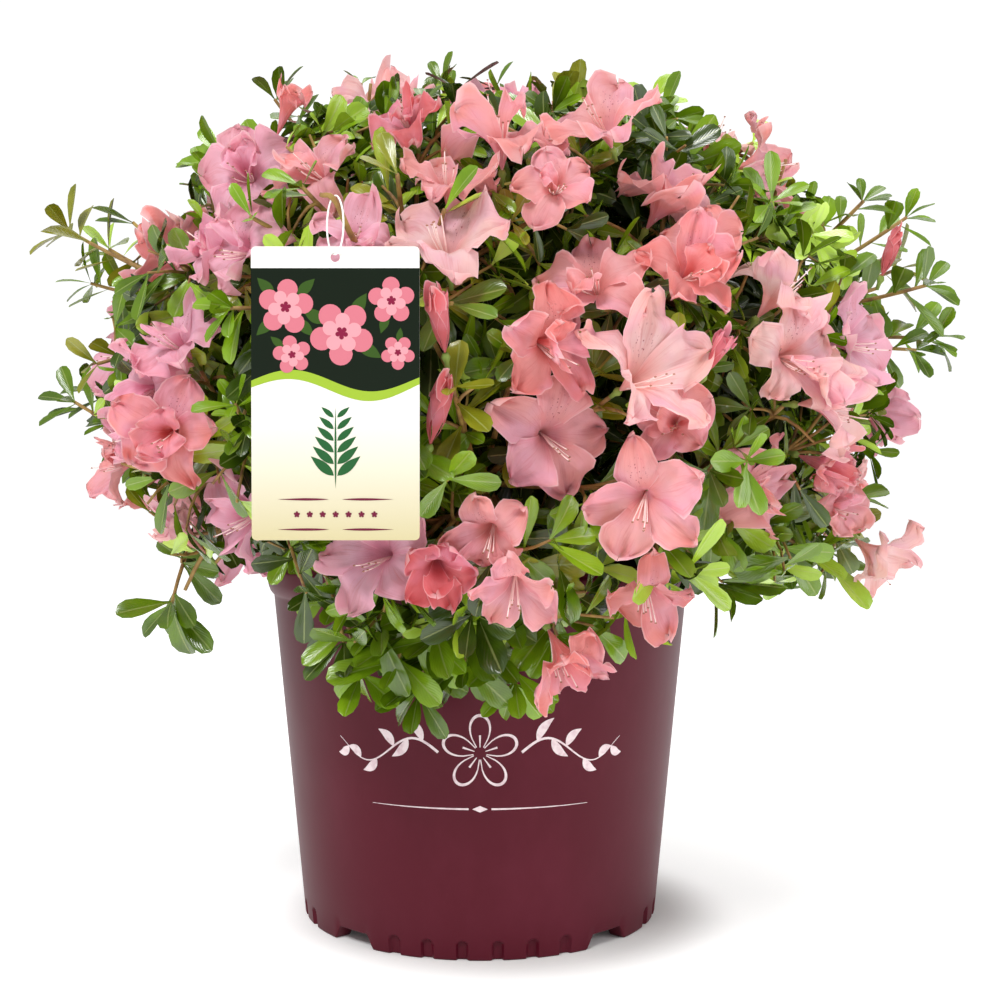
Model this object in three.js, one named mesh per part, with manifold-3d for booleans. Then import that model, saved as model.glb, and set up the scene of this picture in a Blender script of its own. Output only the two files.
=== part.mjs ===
// Azalea shrub in full bloom, grown in a moulded nursery pot, with a plain plant card on a loop.
// Millimetres, +Z up. The pot stands on z = 0 round the z axis, and the card hangs on the -Y side.
// Bearings are degrees round from -Y towards +X, and elevations are degrees up from level.
import * as THREE from 'three';
import { mergeVertices } from 'three/addons/utils/BufferGeometryUtils.js';
import Module from 'manifold-3d';

// Clearance between pieces that bear on each other
const GAP = 0.3;
// Vertices nearer than this are made one, which takes slivers out
const WELD = 0.01;

// The pot
const POT = {
  height: 228,
  base: 114.7,       // outer radius at the ground
  shoulder: 134.5,   // outer radius just under the rim band
  band: 206.5,       // height of the rim band's lower edge
  rim: 138.5,        // outer radius of the rim band
  lip: 137.4,        // outer radius of the lip above the band
  wall: 2,
  skirt: 10.7,       // how far in the foot ring reaches
  floor: 9,          // height of the floor's underside
  sides: 40,
};
const FOOT = {
  gapBearings: [42, 138, 222, 318],
  gapWide: 33,
  gapNarrow: 24,
  gapHeight: 8.5,
  notchWidth: 6.5,
  notchHeight: 11.5,
  notchDepth: 1.8,
  notchPitch: 10.4,  // degrees from one notch to the next
  notchesPerFoot: 6,
};
const SOIL = { edge: 201, middle: 205, level: 30 };

// The short stem inside the crown, from its flat cut on the soil to its fork
const STEM = { height: 59, flare: 16.5, foot: 12.5, fork: 10, sides: 10 };

// The crown's round outline about its heart, and how it is filled
const CROWN = {
  heart: 330,
  spread: 262,       // half its width
  rise: 215,         // from the heart to the top
  drop: 230,         // from the heart to where the underside would close
  fullness: 2.2,     // exponent of the outline: 2 is an ellipse, more is fuller
  skirt: -34,        // elevation of the lowest foliage, seen from the heart
  coreFrom: 0.52,    // the dense part of each mass, as shares of the way out
  coreTo: 0.8,
  massAt: 0.66,      // share of the way out of a mass's middle
};

// Rings of foliage masses, each mass on a bough that leaves the stem at the ring's level and bows out
const RINGS = [
  { name: 'lower', count: 8, elevation: -17, turn: 0, level: 219, girth: 4, bow: 1.1 },
  { name: 'middle', count: 7, elevation: 18, turn: -13, level: 231, girth: 4, bow: 1.15 },
  { name: 'upper', count: 5, elevation: 52, turn: 20, level: 240, girth: 3.6, bow: 1.35 },
  { name: 'top', count: 1, elevation: 90, turn: 0, level: 264.6, girth: 5, bow: 1 },
];
const LIMB = { sides: 5, boughEnds: 0.64, boughTip: 3, massTip: 2, twigRoot: 1.9, twigTip: 1.1 };

// Leaves and blooms. Leaves are drawn larger than life, each standing for two or three
const LEAF = { length: 47, width: 21, broadest: 0.6, root: 3, perWhorl: 4, splay: 50 };
const BLOOM = { width: 74, lobes: 5, notch: 0.4, throat: 0.26, tube: 0.72 };

// Blooms on the card's side: bearing, height, width
const FRONT_BLOOMS = [
  [-40, 471, 78], [-24, 462, 66], [-4, 446, 66], [3, 474, 86], [17, 478, 82], [29, 453, 84],
  [-37, 414, 70], [-4, 400, 82], [13, 383, 72], [41, 386, 82], [8, 346, 72], [18, 334, 92],
  [40, 346, 82], [-41, 360, 66], [-46, 330, 66], [-38, 305, 78], [-37, 248, 78], [9, 299, 84],
  [24, 309, 70], [46, 322, 84], [18, 270, 80], [41, 270, 72], [71, 230, 76], [-13, 240, 86],
  [1, 250, 66], [23, 214, 66], [12, 186, 74],
];
// Long leafy shoots that stand out past the crown's outline: bearing, height, distance out
const LONG_SHOOTS = [
  [-76, 449, 276], [-82, 412, 266], [-70, 462, 246], [-80, 329, 279], [-68, 350, 262],
  [-62, 478, 226], [-65, 529, 146], [-48, 538, 102], [-22, 539, 66], [61, 535, 124],
  [70, 516, 160], [66, 491, 222], [80, 458, 285], [74, 406, 296], [82, 372, 306],
  [-76, 184, 216], [66, 208, 236], [124, 420, 278], [150, 344, 282], [172, 466, 232],
  [196, 352, 280], [220, 420, 266], [244, 340, 276], [160, 526, 132], [232, 530, 120],
  [140, 206, 220], [210, 202, 218],
];
// Shoots that hang over the rim in front of the pot
const HANGING_SHOOTS = [[-30, 172, 178], [-20, 184, 182], [-12, 152, 172], [-3, 167, 176], [7, 155, 170]];
// Everything between them: tips spread evenly over the whole crown
const SPREAD = { count: 68, bloomShare: 0.5, front: 56, bloomRoom: 50, leafRoom: 36 };

// The card and the loop that it hangs on
const CARD = { x: -67, y: -277, middle: 321, width: 78, height: 136, thick: 0.8, hole: 2.2, holeDrop: 5 };
const LOOP = { thread: 0.45, halfWidth: 6, halfHeight: 13.5, turn: -45 };

const COLOURS = {
  pot: 0x5a1f2d, soil: 0x3b2a20, bark: 0x6f5636, foliage: 0x4c6a24, card: 0xf3ede1, loop: 0xf4f4f0,
};

// Numbers and directions

// A seeded chance from 0 to 1, the same for the same two numbers.
function chance(i, j) {
  const wave = Math.sin(i * 127.1 + j * 311.7) * 43758.5453;
  return wave - Math.floor(wave);
}

const radians = THREE.MathUtils.degToRad;
const mix = THREE.MathUtils.lerp;

// A point at a bearing, a distance out from the pot's axis and a height.
function at(bearing, out, height) {
  const b = radians(bearing);
  return new THREE.Vector3(out * Math.sin(b), -out * Math.cos(b), height);
}

// How far out a point lies in the crown: 0 at the heart and 1 on the outline.
function share(p) {
  const up = p.z - CROWN.heart;
  const reach = up > 0 ? CROWN.rise : CROWN.drop;
  const across = Math.hypot(p.x, p.y) / CROWN.spread;
  return (across ** CROWN.fullness + (Math.abs(up) / reach) ** CROWN.fullness) ** (1 / CROWN.fullness);
}

// The point of the outline in a direction from the heart, or a share of the way to it.
function towards(bearing, elevation, part = 1) {
  const e = radians(elevation);
  const point = at(bearing, Math.cos(e), CROWN.heart + Math.sin(e));
  const reach = part / share(point);
  return at(bearing, Math.cos(e) * reach, CROWN.heart + Math.sin(e) * reach);
}

// The point of the outline at a bearing and a height.
function onOutline(bearing, height) {
  const up = height - CROWN.heart;
  const reach = up > 0 ? CROWN.rise : CROWN.drop;
  const out = (1 - (Math.abs(up) / reach) ** CROWN.fullness) ** (1 / CROWN.fullness);
  return at(bearing, CROWN.spread * out, height);
}

// The direction that faces straight out of the crown at a point.
function outward(p) {
  const up = p.z - CROWN.heart;
  const reach = up > 0 ? CROWN.rise : CROWN.drop;
  const power = CROWN.fullness - 1;
  const across = Math.hypot(p.x, p.y);
  const flat = (across / CROWN.spread) ** power / CROWN.spread;
  const steep = Math.sign(up) * (Math.abs(up) / reach) ** power / reach;
  return new THREE.Vector3(p.x / (across || 1) * flat, p.y / (across || 1) * flat, steep).normalize();
}

// Two directions square to a direction and to each other.
function squareTo(direction) {
  const reference = Math.abs(direction.z) > 0.8 ? new THREE.Vector3(1, 0, 0) : new THREE.Vector3(0, 0, 1);
  const side = reference.clone().cross(direction).normalize();
  return [side, side.clone().cross(direction)];
}

// A direction turned away from another by an angle, on the side that a turn about it picks.
function splayed(direction, angle, turn) {
  const [side, other] = squareTo(direction);
  return direction.clone().multiplyScalar(Math.cos(radians(angle)))
    .addScaledVector(side, Math.sin(radians(angle)) * Math.cos(turn))
    .addScaledVector(other, Math.sin(radians(angle)) * Math.sin(turn));
}

// Solids: closed meshes that can be joined and cut

const kernel = await Module();
kernel.setup();
const { Manifold, Mesh } = kernel;

function toSolid(geometry) {
  const bare = geometry.clone();
  bare.deleteAttribute('normal');
  bare.deleteAttribute('uv');
  const merged = mergeVertices(bare, WELD);
  const corners = merged.index.array;
  const kept = [];
  for (let i = 0; i < corners.length; i += 3) {
    const [a, b, c] = [corners[i], corners[i + 1], corners[i + 2]];
    if (a !== b && b !== c && c !== a) kept.push(a, b, c);
  }
  const vertProperties = new Float32Array(merged.attributes.position.array);
  return new Manifold(new Mesh({ numProp: 3, vertProperties, triVerts: new Uint32Array(kept) }));
}

function toGeometry(solid) {
  const mesh = solid.getMesh();
  const geometry = new THREE.BufferGeometry();
  geometry.setAttribute('position', new THREE.BufferAttribute(mesh.vertProperties, 3));
  geometry.setIndex(new THREE.BufferAttribute(mesh.triVerts, 1));
  geometry.computeVertexNormals();
  return geometry;
}

// Moves every vertex of a geometry by a rule.
function reshape(geometry, rule) {
  const positions = geometry.attributes.position;
  const p = new THREE.Vector3();
  for (let i = 0; i < positions.count; i += 1) {
    p.fromBufferAttribute(positions, i);
    const q = rule(p);
    positions.setXYZ(i, q.x, q.y, q.z);
  }
  return geometry;
}

// A solid of revolution about the z axis, from radius and height pairs.
function lathe(profile, sides) {
  const points = profile.map(([radius, height]) => new THREE.Vector2(radius, height));
  return new THREE.LatheGeometry(points, sides).rotateX(Math.PI / 2);
}

// A tapering limb along a stretch of a curve.
function limb(curve, from, to, rootRadius, tipRadius, sides, rings) {
  const chord = curve.getPoint(to).sub(curve.getPoint(from)).normalize();
  const reference = Math.abs(chord.z) > 0.8 ? new THREE.Vector3(1, 0, 0) : new THREE.Vector3(0, 0, 1);
  return reshape(new THREE.CylinderGeometry(1, 1, 1, sides, rings), (p) => {
    const t = mix(from, to, p.y + 0.5);
    const radius = mix(rootRadius, tipRadius, p.y + 0.5);
    const along = curve.getTangent(t);
    const side = reference.clone().cross(along).normalize();
    const other = side.clone().cross(along);
    return curve.getPoint(t).addScaledVector(side, p.x * radius).addScaledVector(other, p.z * radius);
  });
}

// Pot and soil

function wallRadius(height) {
  return mix(POT.base, POT.shoulder, height / POT.band);
}

function potShell() {
  const inner = (height) => wallRadius(height) - POT.wall;
  const floorTop = POT.floor + POT.wall;
  return lathe([
    [0, POT.floor], [POT.base - POT.skirt, POT.floor], [POT.base - POT.skirt, 0],
    [POT.base - 1.6, 0], [wallRadius(2), 2], [wallRadius(POT.band - 1), POT.band - 1],
    [POT.shoulder - 0.7, POT.band], [POT.shoulder + 2.4, POT.band + 2.6], [POT.rim, POT.band + 7.5],
    [POT.rim, POT.height - 5], [POT.lip, POT.height - 3.4], [POT.lip, POT.height],
    [POT.lip - 3.4, POT.height], [inner(POT.band), POT.band], [inner(floorTop + 11), floorTop + 11],
    [inner(floorTop) - 5, floorTop], [0, floorTop],
  ], POT.sides);
}

// A bar with an outline in its own x and z, running outwards through the foot at a bearing.
function footCutter(outline, bearing, from, to) {
  const shape = new THREE.Shape(outline.map(([x, z]) => new THREE.Vector2(x, z)));
  const bar = new THREE.ExtrudeGeometry(shape, { depth: to - from, bevelEnabled: false });
  return toSolid(bar.rotateX(Math.PI / 2).translate(0, -from, 0).rotateZ(radians(bearing)));
}

function potSolid() {
  let pot = toSolid(potShell());
  const { gapWide, gapNarrow, gapHeight, notchWidth, notchHeight } = FOOT;
  const gap = [[-gapWide / 2, -1], [gapWide / 2, -1], [gapNarrow / 2, gapHeight], [-gapNarrow / 2, gapHeight]];
  for (const bearing of FOOT.gapBearings) {
    pot = pot.subtract(footCutter(gap, bearing, POT.base - POT.skirt - 6, POT.base + 6));
  }
  const arch = [[-notchWidth / 2, -1], [notchWidth / 2, -1]];
  const spring = notchHeight - notchWidth / 2;
  for (let step = 0; step <= 3; step += 1) {
    const turn = step * Math.PI / 3;
    arch.push([Math.cos(turn) * notchWidth / 2, spring + Math.sin(turn) * notchWidth / 2]);
  }
  for (let foot = 0; foot < 4; foot += 1) {
    for (let i = 0; i < FOOT.notchesPerFoot; i += 1) {
      const bearing = foot * 90 + (i - (FOOT.notchesPerFoot - 1) / 2) * FOOT.notchPitch;
      pot = pot.subtract(footCutter(arch, bearing, POT.base - FOOT.notchDepth, POT.base + 6));
    }
  }
  return pot;
}

function soilSolid() {
  const inner = (height) => wallRadius(height) - POT.wall - GAP;
  const bottom = POT.floor + POT.wall + GAP;
  return toSolid(lathe([
    [0, bottom], [inner(bottom) - 5.4, bottom], [inner(bottom + 11), bottom + 11], [inner(SOIL.edge), SOIL.edge],
    [SOIL.level, SOIL.middle], [0, SOIL.middle],
  ], POT.sides));
}

// Stem and boughs

function stemSolid(extra) {
  const foot = SOIL.middle + GAP;
  const top = foot + STEM.height + extra;
  return toSolid(lathe([
    [0, foot - extra], [STEM.flare + extra, foot - extra], [STEM.foot + 1 + extra, foot + 7],
    [STEM.foot + extra, foot + 20], [STEM.fork + 1 + extra, foot + 46], [STEM.fork + extra, top], [0, top],
  ], STEM.sides));
}

// The masses' places, each with the line that its bough and its own stem follow.
function layOutMasses() {
  const masses = [];
  for (const ring of RINGS) {
    for (let i = 0; i < ring.count; i += 1) {
      const middle = towards(ring.turn + i * 360 / ring.count, ring.elevation, CROWN.massAt);
      const root = new THREE.Vector3(0, 0, ring.level);
      const bow = root.clone().lerp(middle, 0.5);
      bow.x *= ring.bow;
      bow.y *= ring.bow;
      const leader = new THREE.QuadraticBezierCurve3(root, bow, middle);
      const start = LIMB.boughEnds + GAP / leader.getLength();
      const number = i + 1;
      masses.push({
        name: `${ring.name}_mass_${number}`, bough: `${ring.name}_bough_${number}`, ring, middle, leader, start,
        pieces: [],
      });
    }
  }
  return masses;
}

const masses = layOutMasses();

function nearestMass(p) {
  return masses.reduce((best, mass) => (mass.middle.distanceTo(p) < best.middle.distanceTo(p) ? mass : best));
}

function boughSolid(mass) {
  const { leader, ring } = mass;
  return toSolid(limb(leader, 0, LIMB.boughEnds, ring.girth, LIMB.boughTip, LIMB.sides, 3)).subtract(stemSolid(GAP));
}

// Card and loop

const holeHeight = CARD.middle + CARD.height / 2 - CARD.holeDrop;
const loopBottom = holeHeight + CARD.hole - GAP - LOOP.thread;
const loopTop = loopBottom + 2 * LOOP.halfHeight;

function cardSolid() {
  const [w, h] = [CARD.width / 2, CARD.height / 2];
  const shape = new THREE.Shape();
  shape.moveTo(-w, -h).lineTo(w, -h).lineTo(w, h).lineTo(-w, h).closePath();
  shape.holes.push(new THREE.Path().absarc(0, h - CARD.holeDrop, CARD.hole, 0, 2 * Math.PI, true));
  const plate = new THREE.ExtrudeGeometry(shape, { depth: CARD.thick, bevelEnabled: false, curveSegments: 6 });
  return toSolid(plate.rotateX(Math.PI / 2).translate(CARD.x, CARD.y + CARD.thick / 2, CARD.middle));
}

// An upright oval ring of thread that passes through the card's hole and over a twig.
function loopSolid() {
  const ring = reshape(new THREE.TorusGeometry(LOOP.halfHeight, LOOP.thread, 5, 16), (p) => {
    const turn = Math.atan2(p.y, p.x);
    const narrow = (LOOP.halfWidth - LOOP.halfHeight) * Math.cos(turn);
    return new THREE.Vector3(p.x + narrow, p.y, p.z);
  });
  ring.rotateX(Math.PI / 2).rotateZ(radians(LOOP.turn));
  return toSolid(ring.translate(CARD.x, CARD.y, loopBottom + LOOP.halfHeight));
}

// Foliage masses

const taken = [];

// Notes a solid's space as taken by its owner: a node's name, or a shoot in a mass.
function claim(owner, solid) {
  taken.push({ owner, solid, box: solid.boundingBox() });
}

function apart(a, b) {
  return [0, 1, 2].some((i) => a.min[i] > b.max[i] || b.min[i] > a.max[i]);
}

// Whether a solid would touch anything but what it may touch.
function blocked(solid, mayTouch) {
  const box = solid.boundingBox();
  return taken.some((other) => !mayTouch(other.owner) && !apart(box, other.box)
    && !other.solid.intersect(solid).isEmpty());
}

// A copy a little larger about its middle, which tests whether a leaf or bloom has room.
function enlarged(solid) {
  const { min, max } = solid.boundingBox();
  const centre = min.map((low, i) => (low + max[i]) / 2);
  return solid.translate(centre.map((c) => -c)).scale([1.06, 1.06, 1.06]).translate(centre);
}

// Adds a solid to a mass unless it or its room would touch more than it may, and says whether it did.
function grow(mass, owner, solid, room, mayTouch) {
  if (blocked(room, mayTouch) || blocked(solid, mayTouch)) return false;
  mass.pieces.push(solid);
  claim(owner, solid);
  return true;
}

// The dense part of a mass: a faceted ball pushed out as far as the mass's own space goes.
function coreSolid(mass) {
  const margin = 4;
  const fits = (p) => {
    const out = Math.hypot(p.x, p.y);
    const filled = share(p);
    const elevation = Math.atan2(p.z - CROWN.heart, out);
    return filled > CROWN.coreFrom && filled < CROWN.coreTo && elevation > radians(CROWN.skirt)
      && (p.z > POT.height + 8 || out > POT.rim + 8)
      && masses.every((other) => other === mass || p.distanceToSquared(mass.middle)
        + 2 * margin * other.middle.distanceTo(mass.middle) < p.distanceToSquared(other.middle));
  };
  return toSolid(reshape(new THREE.IcosahedronGeometry(1, 1), (p) => {
    let reach = 4;
    while (reach < 200 && fits(mass.middle.clone().addScaledVector(p, reach + 3))) reach += 3;
    return mass.middle.clone().addScaledVector(p, reach);
  }));
}

// The line of a twig from the middle of its mass to its tip, lifting or drooping on the way.
function twigLine(mass, tip) {
  const knee = mass.middle.clone().lerp(tip, 0.62);
  const fall = mass.middle.z - tip.z;
  knee.z += fall > 60 ? 0.35 * fall : -0.1 * knee.distanceTo(tip);
  return new THREE.QuadraticBezierCurve3(mass.middle, knee, tip);
}

// A twig may meet the wood and the dense part of its own mass, and nothing else.
function growTwig(mass, twig, line, rings) {
  const wood = (extra) => toSolid(limb(line, 0, 1, LIMB.twigRoot + extra, LIMB.twigTip + extra, 3, rings));
  return grow(mass, twig, wood(0), wood(GAP), (owner) => owner.startsWith(mass.name));
}

// A whorl of leaves at a point of a twig, joined where their roots meet. Each leaf is pointed, is
// broadest past its middle and leans out from the twig's direction.
function whorlSolid(centre, direction, leaves, scale, seed) {
  const [side, other] = squareTo(direction);
  const corners = 4 * leaves;
  return toSolid(reshape(new THREE.SphereGeometry(1, corners, 2), (p) => {
    if (Math.abs(p.y) > 0.5) return centre.clone().addScaledVector(direction, Math.sign(p.y) * LEAF.root);
    const corner = (Math.round(Math.atan2(p.z, p.x) / (2 * Math.PI) * corners) + corners) % corners;
    const leaf = Math.floor(corner / 4);
    const part = corner % 4;
    const turn = seed + (leaf + (part ? 0.5 : 0) + 0.3 * chance(seed, leaf)) * 2 * Math.PI / leaves;
    const radial = side.clone().multiplyScalar(Math.cos(turn)).addScaledVector(other, Math.sin(turn));
    if (!part) return centre.clone().addScaledVector(radial, LEAF.root);
    const length = LEAF.length * scale * (0.8 + 0.35 * chance(seed, leaf + 20));
    const splay = radians(LEAF.splay + 24 * chance(seed, leaf + 40) - 12);
    const along = direction.clone().multiplyScalar(Math.cos(splay)).addScaledVector(radial, Math.sin(splay));
    const across = radial.clone().cross(direction);
    return centre.clone().addScaledVector(along, length * (part === 2 ? 1 : LEAF.broadest))
      .addScaledVector(across, (part - 2) * LEAF.width * scale / 2);
  }));
}

// A twig with a whorl of leaves at its tip and, on a long shoot, another lower down.
function growShoot(mass, tip, seed, long) {
  const twig = `${mass.name} twig ${seed}`;
  const line = twigLine(mass, tip);
  if (!growTwig(mass, twig, line, long ? 2 : 1)) return;
  const places = long ? [[0.985, LEAF.perWhorl], [0.8, 3]] : [[0.985, LEAF.perWhorl]];
  for (const [t, leaves] of places) {
    const direction = line.getTangent(t).normalize();
    [1, 0.8, 0.62].some((scale) => {
      const whorl = whorlSolid(line.getPoint(t), direction, leaves, scale, seed + t);
      return grow(mass, `whorl ${seed}`, whorl, enlarged(whorl), (owner) => owner === twig);
    });
  }
}

// An open bloom: a funnel with five lobes whose face looks along a direction.
function bloomSolid(centre, facing, width, turn) {
  const radius = width / 2;
  const [side, other] = squareTo(facing);
  const funnel = reshape(new THREE.SphereGeometry(1, 3 * BLOOM.lobes, 2), (p) => {
    const onEdge = Math.abs(p.y) < 0.5;
    const angle = Math.atan2(p.z, p.x);
    const dip = onEdge ? Math.abs(Math.cos(BLOOM.lobes / 2 * angle)) ** 4 : 0;
    const out = onEdge ? radius * (1 - BLOOM.notch * dip) : 0;
    const depth = p.y > 0 ? BLOOM.throat : BLOOM.tube;
    const height = onEdge ? -0.14 * radius * dip : -radius * depth;
    return centre.clone().addScaledVector(facing, height)
      .addScaledVector(side, out * Math.cos(angle + turn)).addScaledVector(other, out * Math.sin(angle + turn));
  });
  return toSolid(funnel);
}

// A bloom and the twig that carries it, made smaller where there is little room.
function growBloom(centre, width, seed) {
  const mass = nearestMass(centre);
  const facing = splayed(outward(centre), 24 * chance(seed, 1), 2 * Math.PI * chance(seed, 2));
  const twig = `${mass.name} twig ${seed}`;
  const mayTouch = (owner) => owner === twig;
  for (const scale of [1, 0.8, 0.64]) {
    const bloom = bloomSolid(centre, facing, width * scale, chance(seed, 3));
    const foot = centre.clone().addScaledVector(facing, -BLOOM.tube * 0.7 * width * scale / 2);
    const room = enlarged(bloom);
    if (!blocked(room, mayTouch) && growTwig(mass, twig, twigLine(mass, foot), 1)) {
      return grow(mass, `bloom ${seed}`, bloom, room, mayTouch);
    }
  }
  return false;
}

// Joins a mass into one body. Scraps that nothing holds are left off and sealed hollows are filled.
function massSolid(mass) {
  const welded = toSolid(toGeometry(Manifold.union(mass.pieces)));
  return welded.decompose().reduce((best, body) => (body.volume() > best.volume() ? body : best));
}

// Putting the plant together

const fixed = { pot: potSolid(), soil: soilSolid(), stem: stemSolid(0), tag: cardSolid(), tag_loop: loopSolid() };
for (const [name, solid] of Object.entries(fixed)) claim(name, solid);
for (const mass of masses) {
  mass.limb = boughSolid(mass);
  claim(mass.bough, mass.limb);
}
for (const mass of masses) {
  mass.pieces.push(toSolid(limb(mass.leader, mass.start, 1, LIMB.boughTip, LIMB.massTip, LIMB.sides, 2)), coreSolid(mass));
  for (const solid of mass.pieces) claim(mass.name, solid);
}

// The twig that the card's loop hangs on
const hookRadius = mix(LIMB.twigRoot, LIMB.twigTip, 2 / 3);
const hook = new THREE.Vector3(CARD.x, CARD.y, loopTop - LOOP.thread - 2 * GAP - hookRadius);
const hookMass = nearestMass(hook);
const hookKnee = hookMass.middle.clone().lerp(hook, 0.7).add(new THREE.Vector3(0, 0, -9));
const hookTip = hook.clone().add(new THREE.Vector3(-6, -7, 1.5));
const hookLine = new THREE.CatmullRomCurve3([hookMass.middle, hookKnee, hook, hookTip]);
growTwig(hookMass, `${hookMass.name} hook`, hookLine, 6);

// Nothing else grows in the space close round the card and its loop
const cardRoom = new THREE.BoxGeometry(CARD.width + 6, 14, CARD.height + 6);
claim('room for the card', toSolid(cardRoom.translate(CARD.x, CARD.y, CARD.middle)));
const loopRoom = new THREE.BoxGeometry(2 * LOOP.halfWidth + 6, 2 * LOOP.halfWidth + 6, 2 * LOOP.halfHeight);
claim('room for the loop', toSolid(loopRoom.translate(CARD.x, CARD.y, loopTop - LOOP.halfHeight)));

const blooms = [];
function placeBloom(centre, width, seed) {
  if (growBloom(centre, width, seed)) blooms.push(centre);
}
FRONT_BLOOMS.forEach(([bearing, height, width], i) => placeBloom(onOutline(bearing, height), width, i));

[...LONG_SHOOTS, ...HANGING_SHOOTS].forEach(([bearing, height, out], i) => {
  const reach = at(bearing, out, height);
  const tip = reach.addScaledVector(outward(reach), -0.62 * LEAF.length);
  growShoot(nearestMass(tip), tip, 100 + i, true);
});

const goldenAngle = 180 * (3 - Math.sqrt(5));
const lowest = Math.sin(radians(CROWN.skirt));
const roomAround = (p) => Math.min(...blooms.map((bloom) => bloom.distanceTo(p)));
const spreadTips = [];
for (let k = 0; k < SPREAD.count; k += 1) {
  const elevation = THREE.MathUtils.radToDeg(Math.asin(mix(1, lowest, (k + 0.5) / SPREAD.count)));
  const bearing = THREE.MathUtils.euclideanModulo(k * goldenAngle + 180, 360) - 180;
  const faces = Math.abs(bearing) < SPREAD.front && elevation < 60;
  spreadTips.push({ k, elevation, bearing, flowers: !faces && chance(k, 5) < SPREAD.bloomShare });
}
for (const { k, elevation, bearing, flowers } of spreadTips) {
  const centre = towards(bearing, elevation, 0.97 + 0.05 * chance(k, 6));
  if (flowers && roomAround(centre) > SPREAD.bloomRoom) {
    placeBloom(centre, BLOOM.width * (0.8 + 0.35 * chance(k, 7)), 200 + k);
  }
}
for (const { k, elevation, bearing } of spreadTips) {
  const tip = towards(bearing, elevation, 0.83 + 0.08 * chance(k, 8));
  if (roomAround(tip) > SPREAD.leafRoom) {
    growShoot(nearestMass(tip), tip, 400 + k, false);
  }
}

// The scene graph

const azalea = new THREE.Group();

function addNode(group, name, solid, color, roughness) {
  const mesh = new THREE.Mesh(toGeometry(solid), new THREE.MeshStandardMaterial({ color, roughness, metalness: 0 }));
  mesh.name = name;
  group.add(mesh);
}

const potted = new THREE.Group();
addNode(potted, 'pot', fixed.pot, COLOURS.pot, 0.45);
addNode(potted, 'soil', fixed.soil, COLOURS.soil, 0.95);

const plant = new THREE.Group();
addNode(plant, 'stem', fixed.stem, COLOURS.bark, 0.85);
for (const mass of masses) {
  addNode(plant, mass.bough, mass.limb, COLOURS.bark, 0.85);
  addNode(plant, mass.name, massSolid(mass), COLOURS.foliage, 0.6);
}

const label = new THREE.Group();
addNode(label, 'tag', fixed.tag, COLOURS.card, 0.5);
addNode(label, 'tag_loop', fixed.tag_loop, COLOURS.loop, 0.8);

// The origin is under the middle of the whole plant's box, on the ground
azalea.add(potted, plant, label);
const box = new THREE.Box3().setFromObject(azalea, true);
azalea.position.set(-(box.min.x + box.max.x) / 2, -(box.min.y + box.max.y) / 2, -box.min.z);

export default azalea;
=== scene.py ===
import math

import bmesh
import bpy
import numpy as np
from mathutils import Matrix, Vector, noise


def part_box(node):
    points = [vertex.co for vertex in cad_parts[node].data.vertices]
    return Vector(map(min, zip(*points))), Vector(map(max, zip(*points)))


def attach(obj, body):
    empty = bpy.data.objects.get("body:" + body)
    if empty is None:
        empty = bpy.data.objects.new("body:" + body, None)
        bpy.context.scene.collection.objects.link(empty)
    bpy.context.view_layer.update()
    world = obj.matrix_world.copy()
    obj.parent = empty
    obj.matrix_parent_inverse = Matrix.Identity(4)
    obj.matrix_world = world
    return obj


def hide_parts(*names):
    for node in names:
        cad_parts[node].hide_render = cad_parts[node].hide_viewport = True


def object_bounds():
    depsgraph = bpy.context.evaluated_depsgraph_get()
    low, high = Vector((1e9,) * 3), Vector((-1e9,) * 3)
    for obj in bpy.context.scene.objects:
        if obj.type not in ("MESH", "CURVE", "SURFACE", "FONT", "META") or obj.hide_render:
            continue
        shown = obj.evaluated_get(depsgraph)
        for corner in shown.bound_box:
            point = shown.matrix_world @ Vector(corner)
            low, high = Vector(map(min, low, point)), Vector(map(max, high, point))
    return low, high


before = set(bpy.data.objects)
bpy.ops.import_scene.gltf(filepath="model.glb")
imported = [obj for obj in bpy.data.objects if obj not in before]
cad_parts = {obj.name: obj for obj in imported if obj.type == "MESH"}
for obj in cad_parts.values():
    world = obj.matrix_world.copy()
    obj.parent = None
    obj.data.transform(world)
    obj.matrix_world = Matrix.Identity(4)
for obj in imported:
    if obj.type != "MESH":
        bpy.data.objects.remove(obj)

cad_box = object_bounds()

# Camera: the plant is seen from the front, a little above the middle of the crown, with the pot's
# axis slightly left of the middle of the picture. The pot's axis is where all sizes start from.
MM = 0.001
pot_low, pot_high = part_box("pot")
axis = np.array([(pot_low.x + pot_high.x) / 2, (pot_low.y + pot_high.y) / 2, 0.0])
CAMERA_AWAY, CAMERA_HIGH, CAMERA_TILT = 936 * MM, 284 * MM, 1.07


def add_object(name, data):
    """Puts a new object with its data in the scene."""
    made = bpy.data.objects.new(name, data)
    bpy.context.scene.collection.objects.link(made)
    return made


camera_data = bpy.data.cameras.new("camera")
camera_data.lens = 51.1
camera_data.sensor_width = 36
camera_data.shift_x = 0.02
camera = add_object("camera", camera_data)
camera.location = (axis[0], axis[1] - CAMERA_AWAY, CAMERA_HIGH)
camera.rotation_euler = (math.radians(90 - CAMERA_TILT), 0, 0)
bpy.context.scene.camera = camera


# Floor and light: a white sweep that the pot stands on, lit by a broad soft lamp from the upper
# left in front, a weaker one from the right and a white surround. The floor glows a little, and less
# close to the foot: a painted shadow round the pot's foot, a little to its right and front.
FLOOR_HALF, FOOT_SHADE = 30, (14 * MM, -14 * MM, 0.0)  # in metres
LAMPS = [
    # name, place from the pot's axis in m, size in m, power in W
    ("key", (-0.7, -1.6, 2.0), 0.7, 41),
    ("side", (1.7, -0.9, 0.9), 1.2, 14),
    ("top", (0.2, 0.5, 2.2), 1.4, 15),
]
LAMPS_AIM = (0, 0, 0.3)


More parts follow.
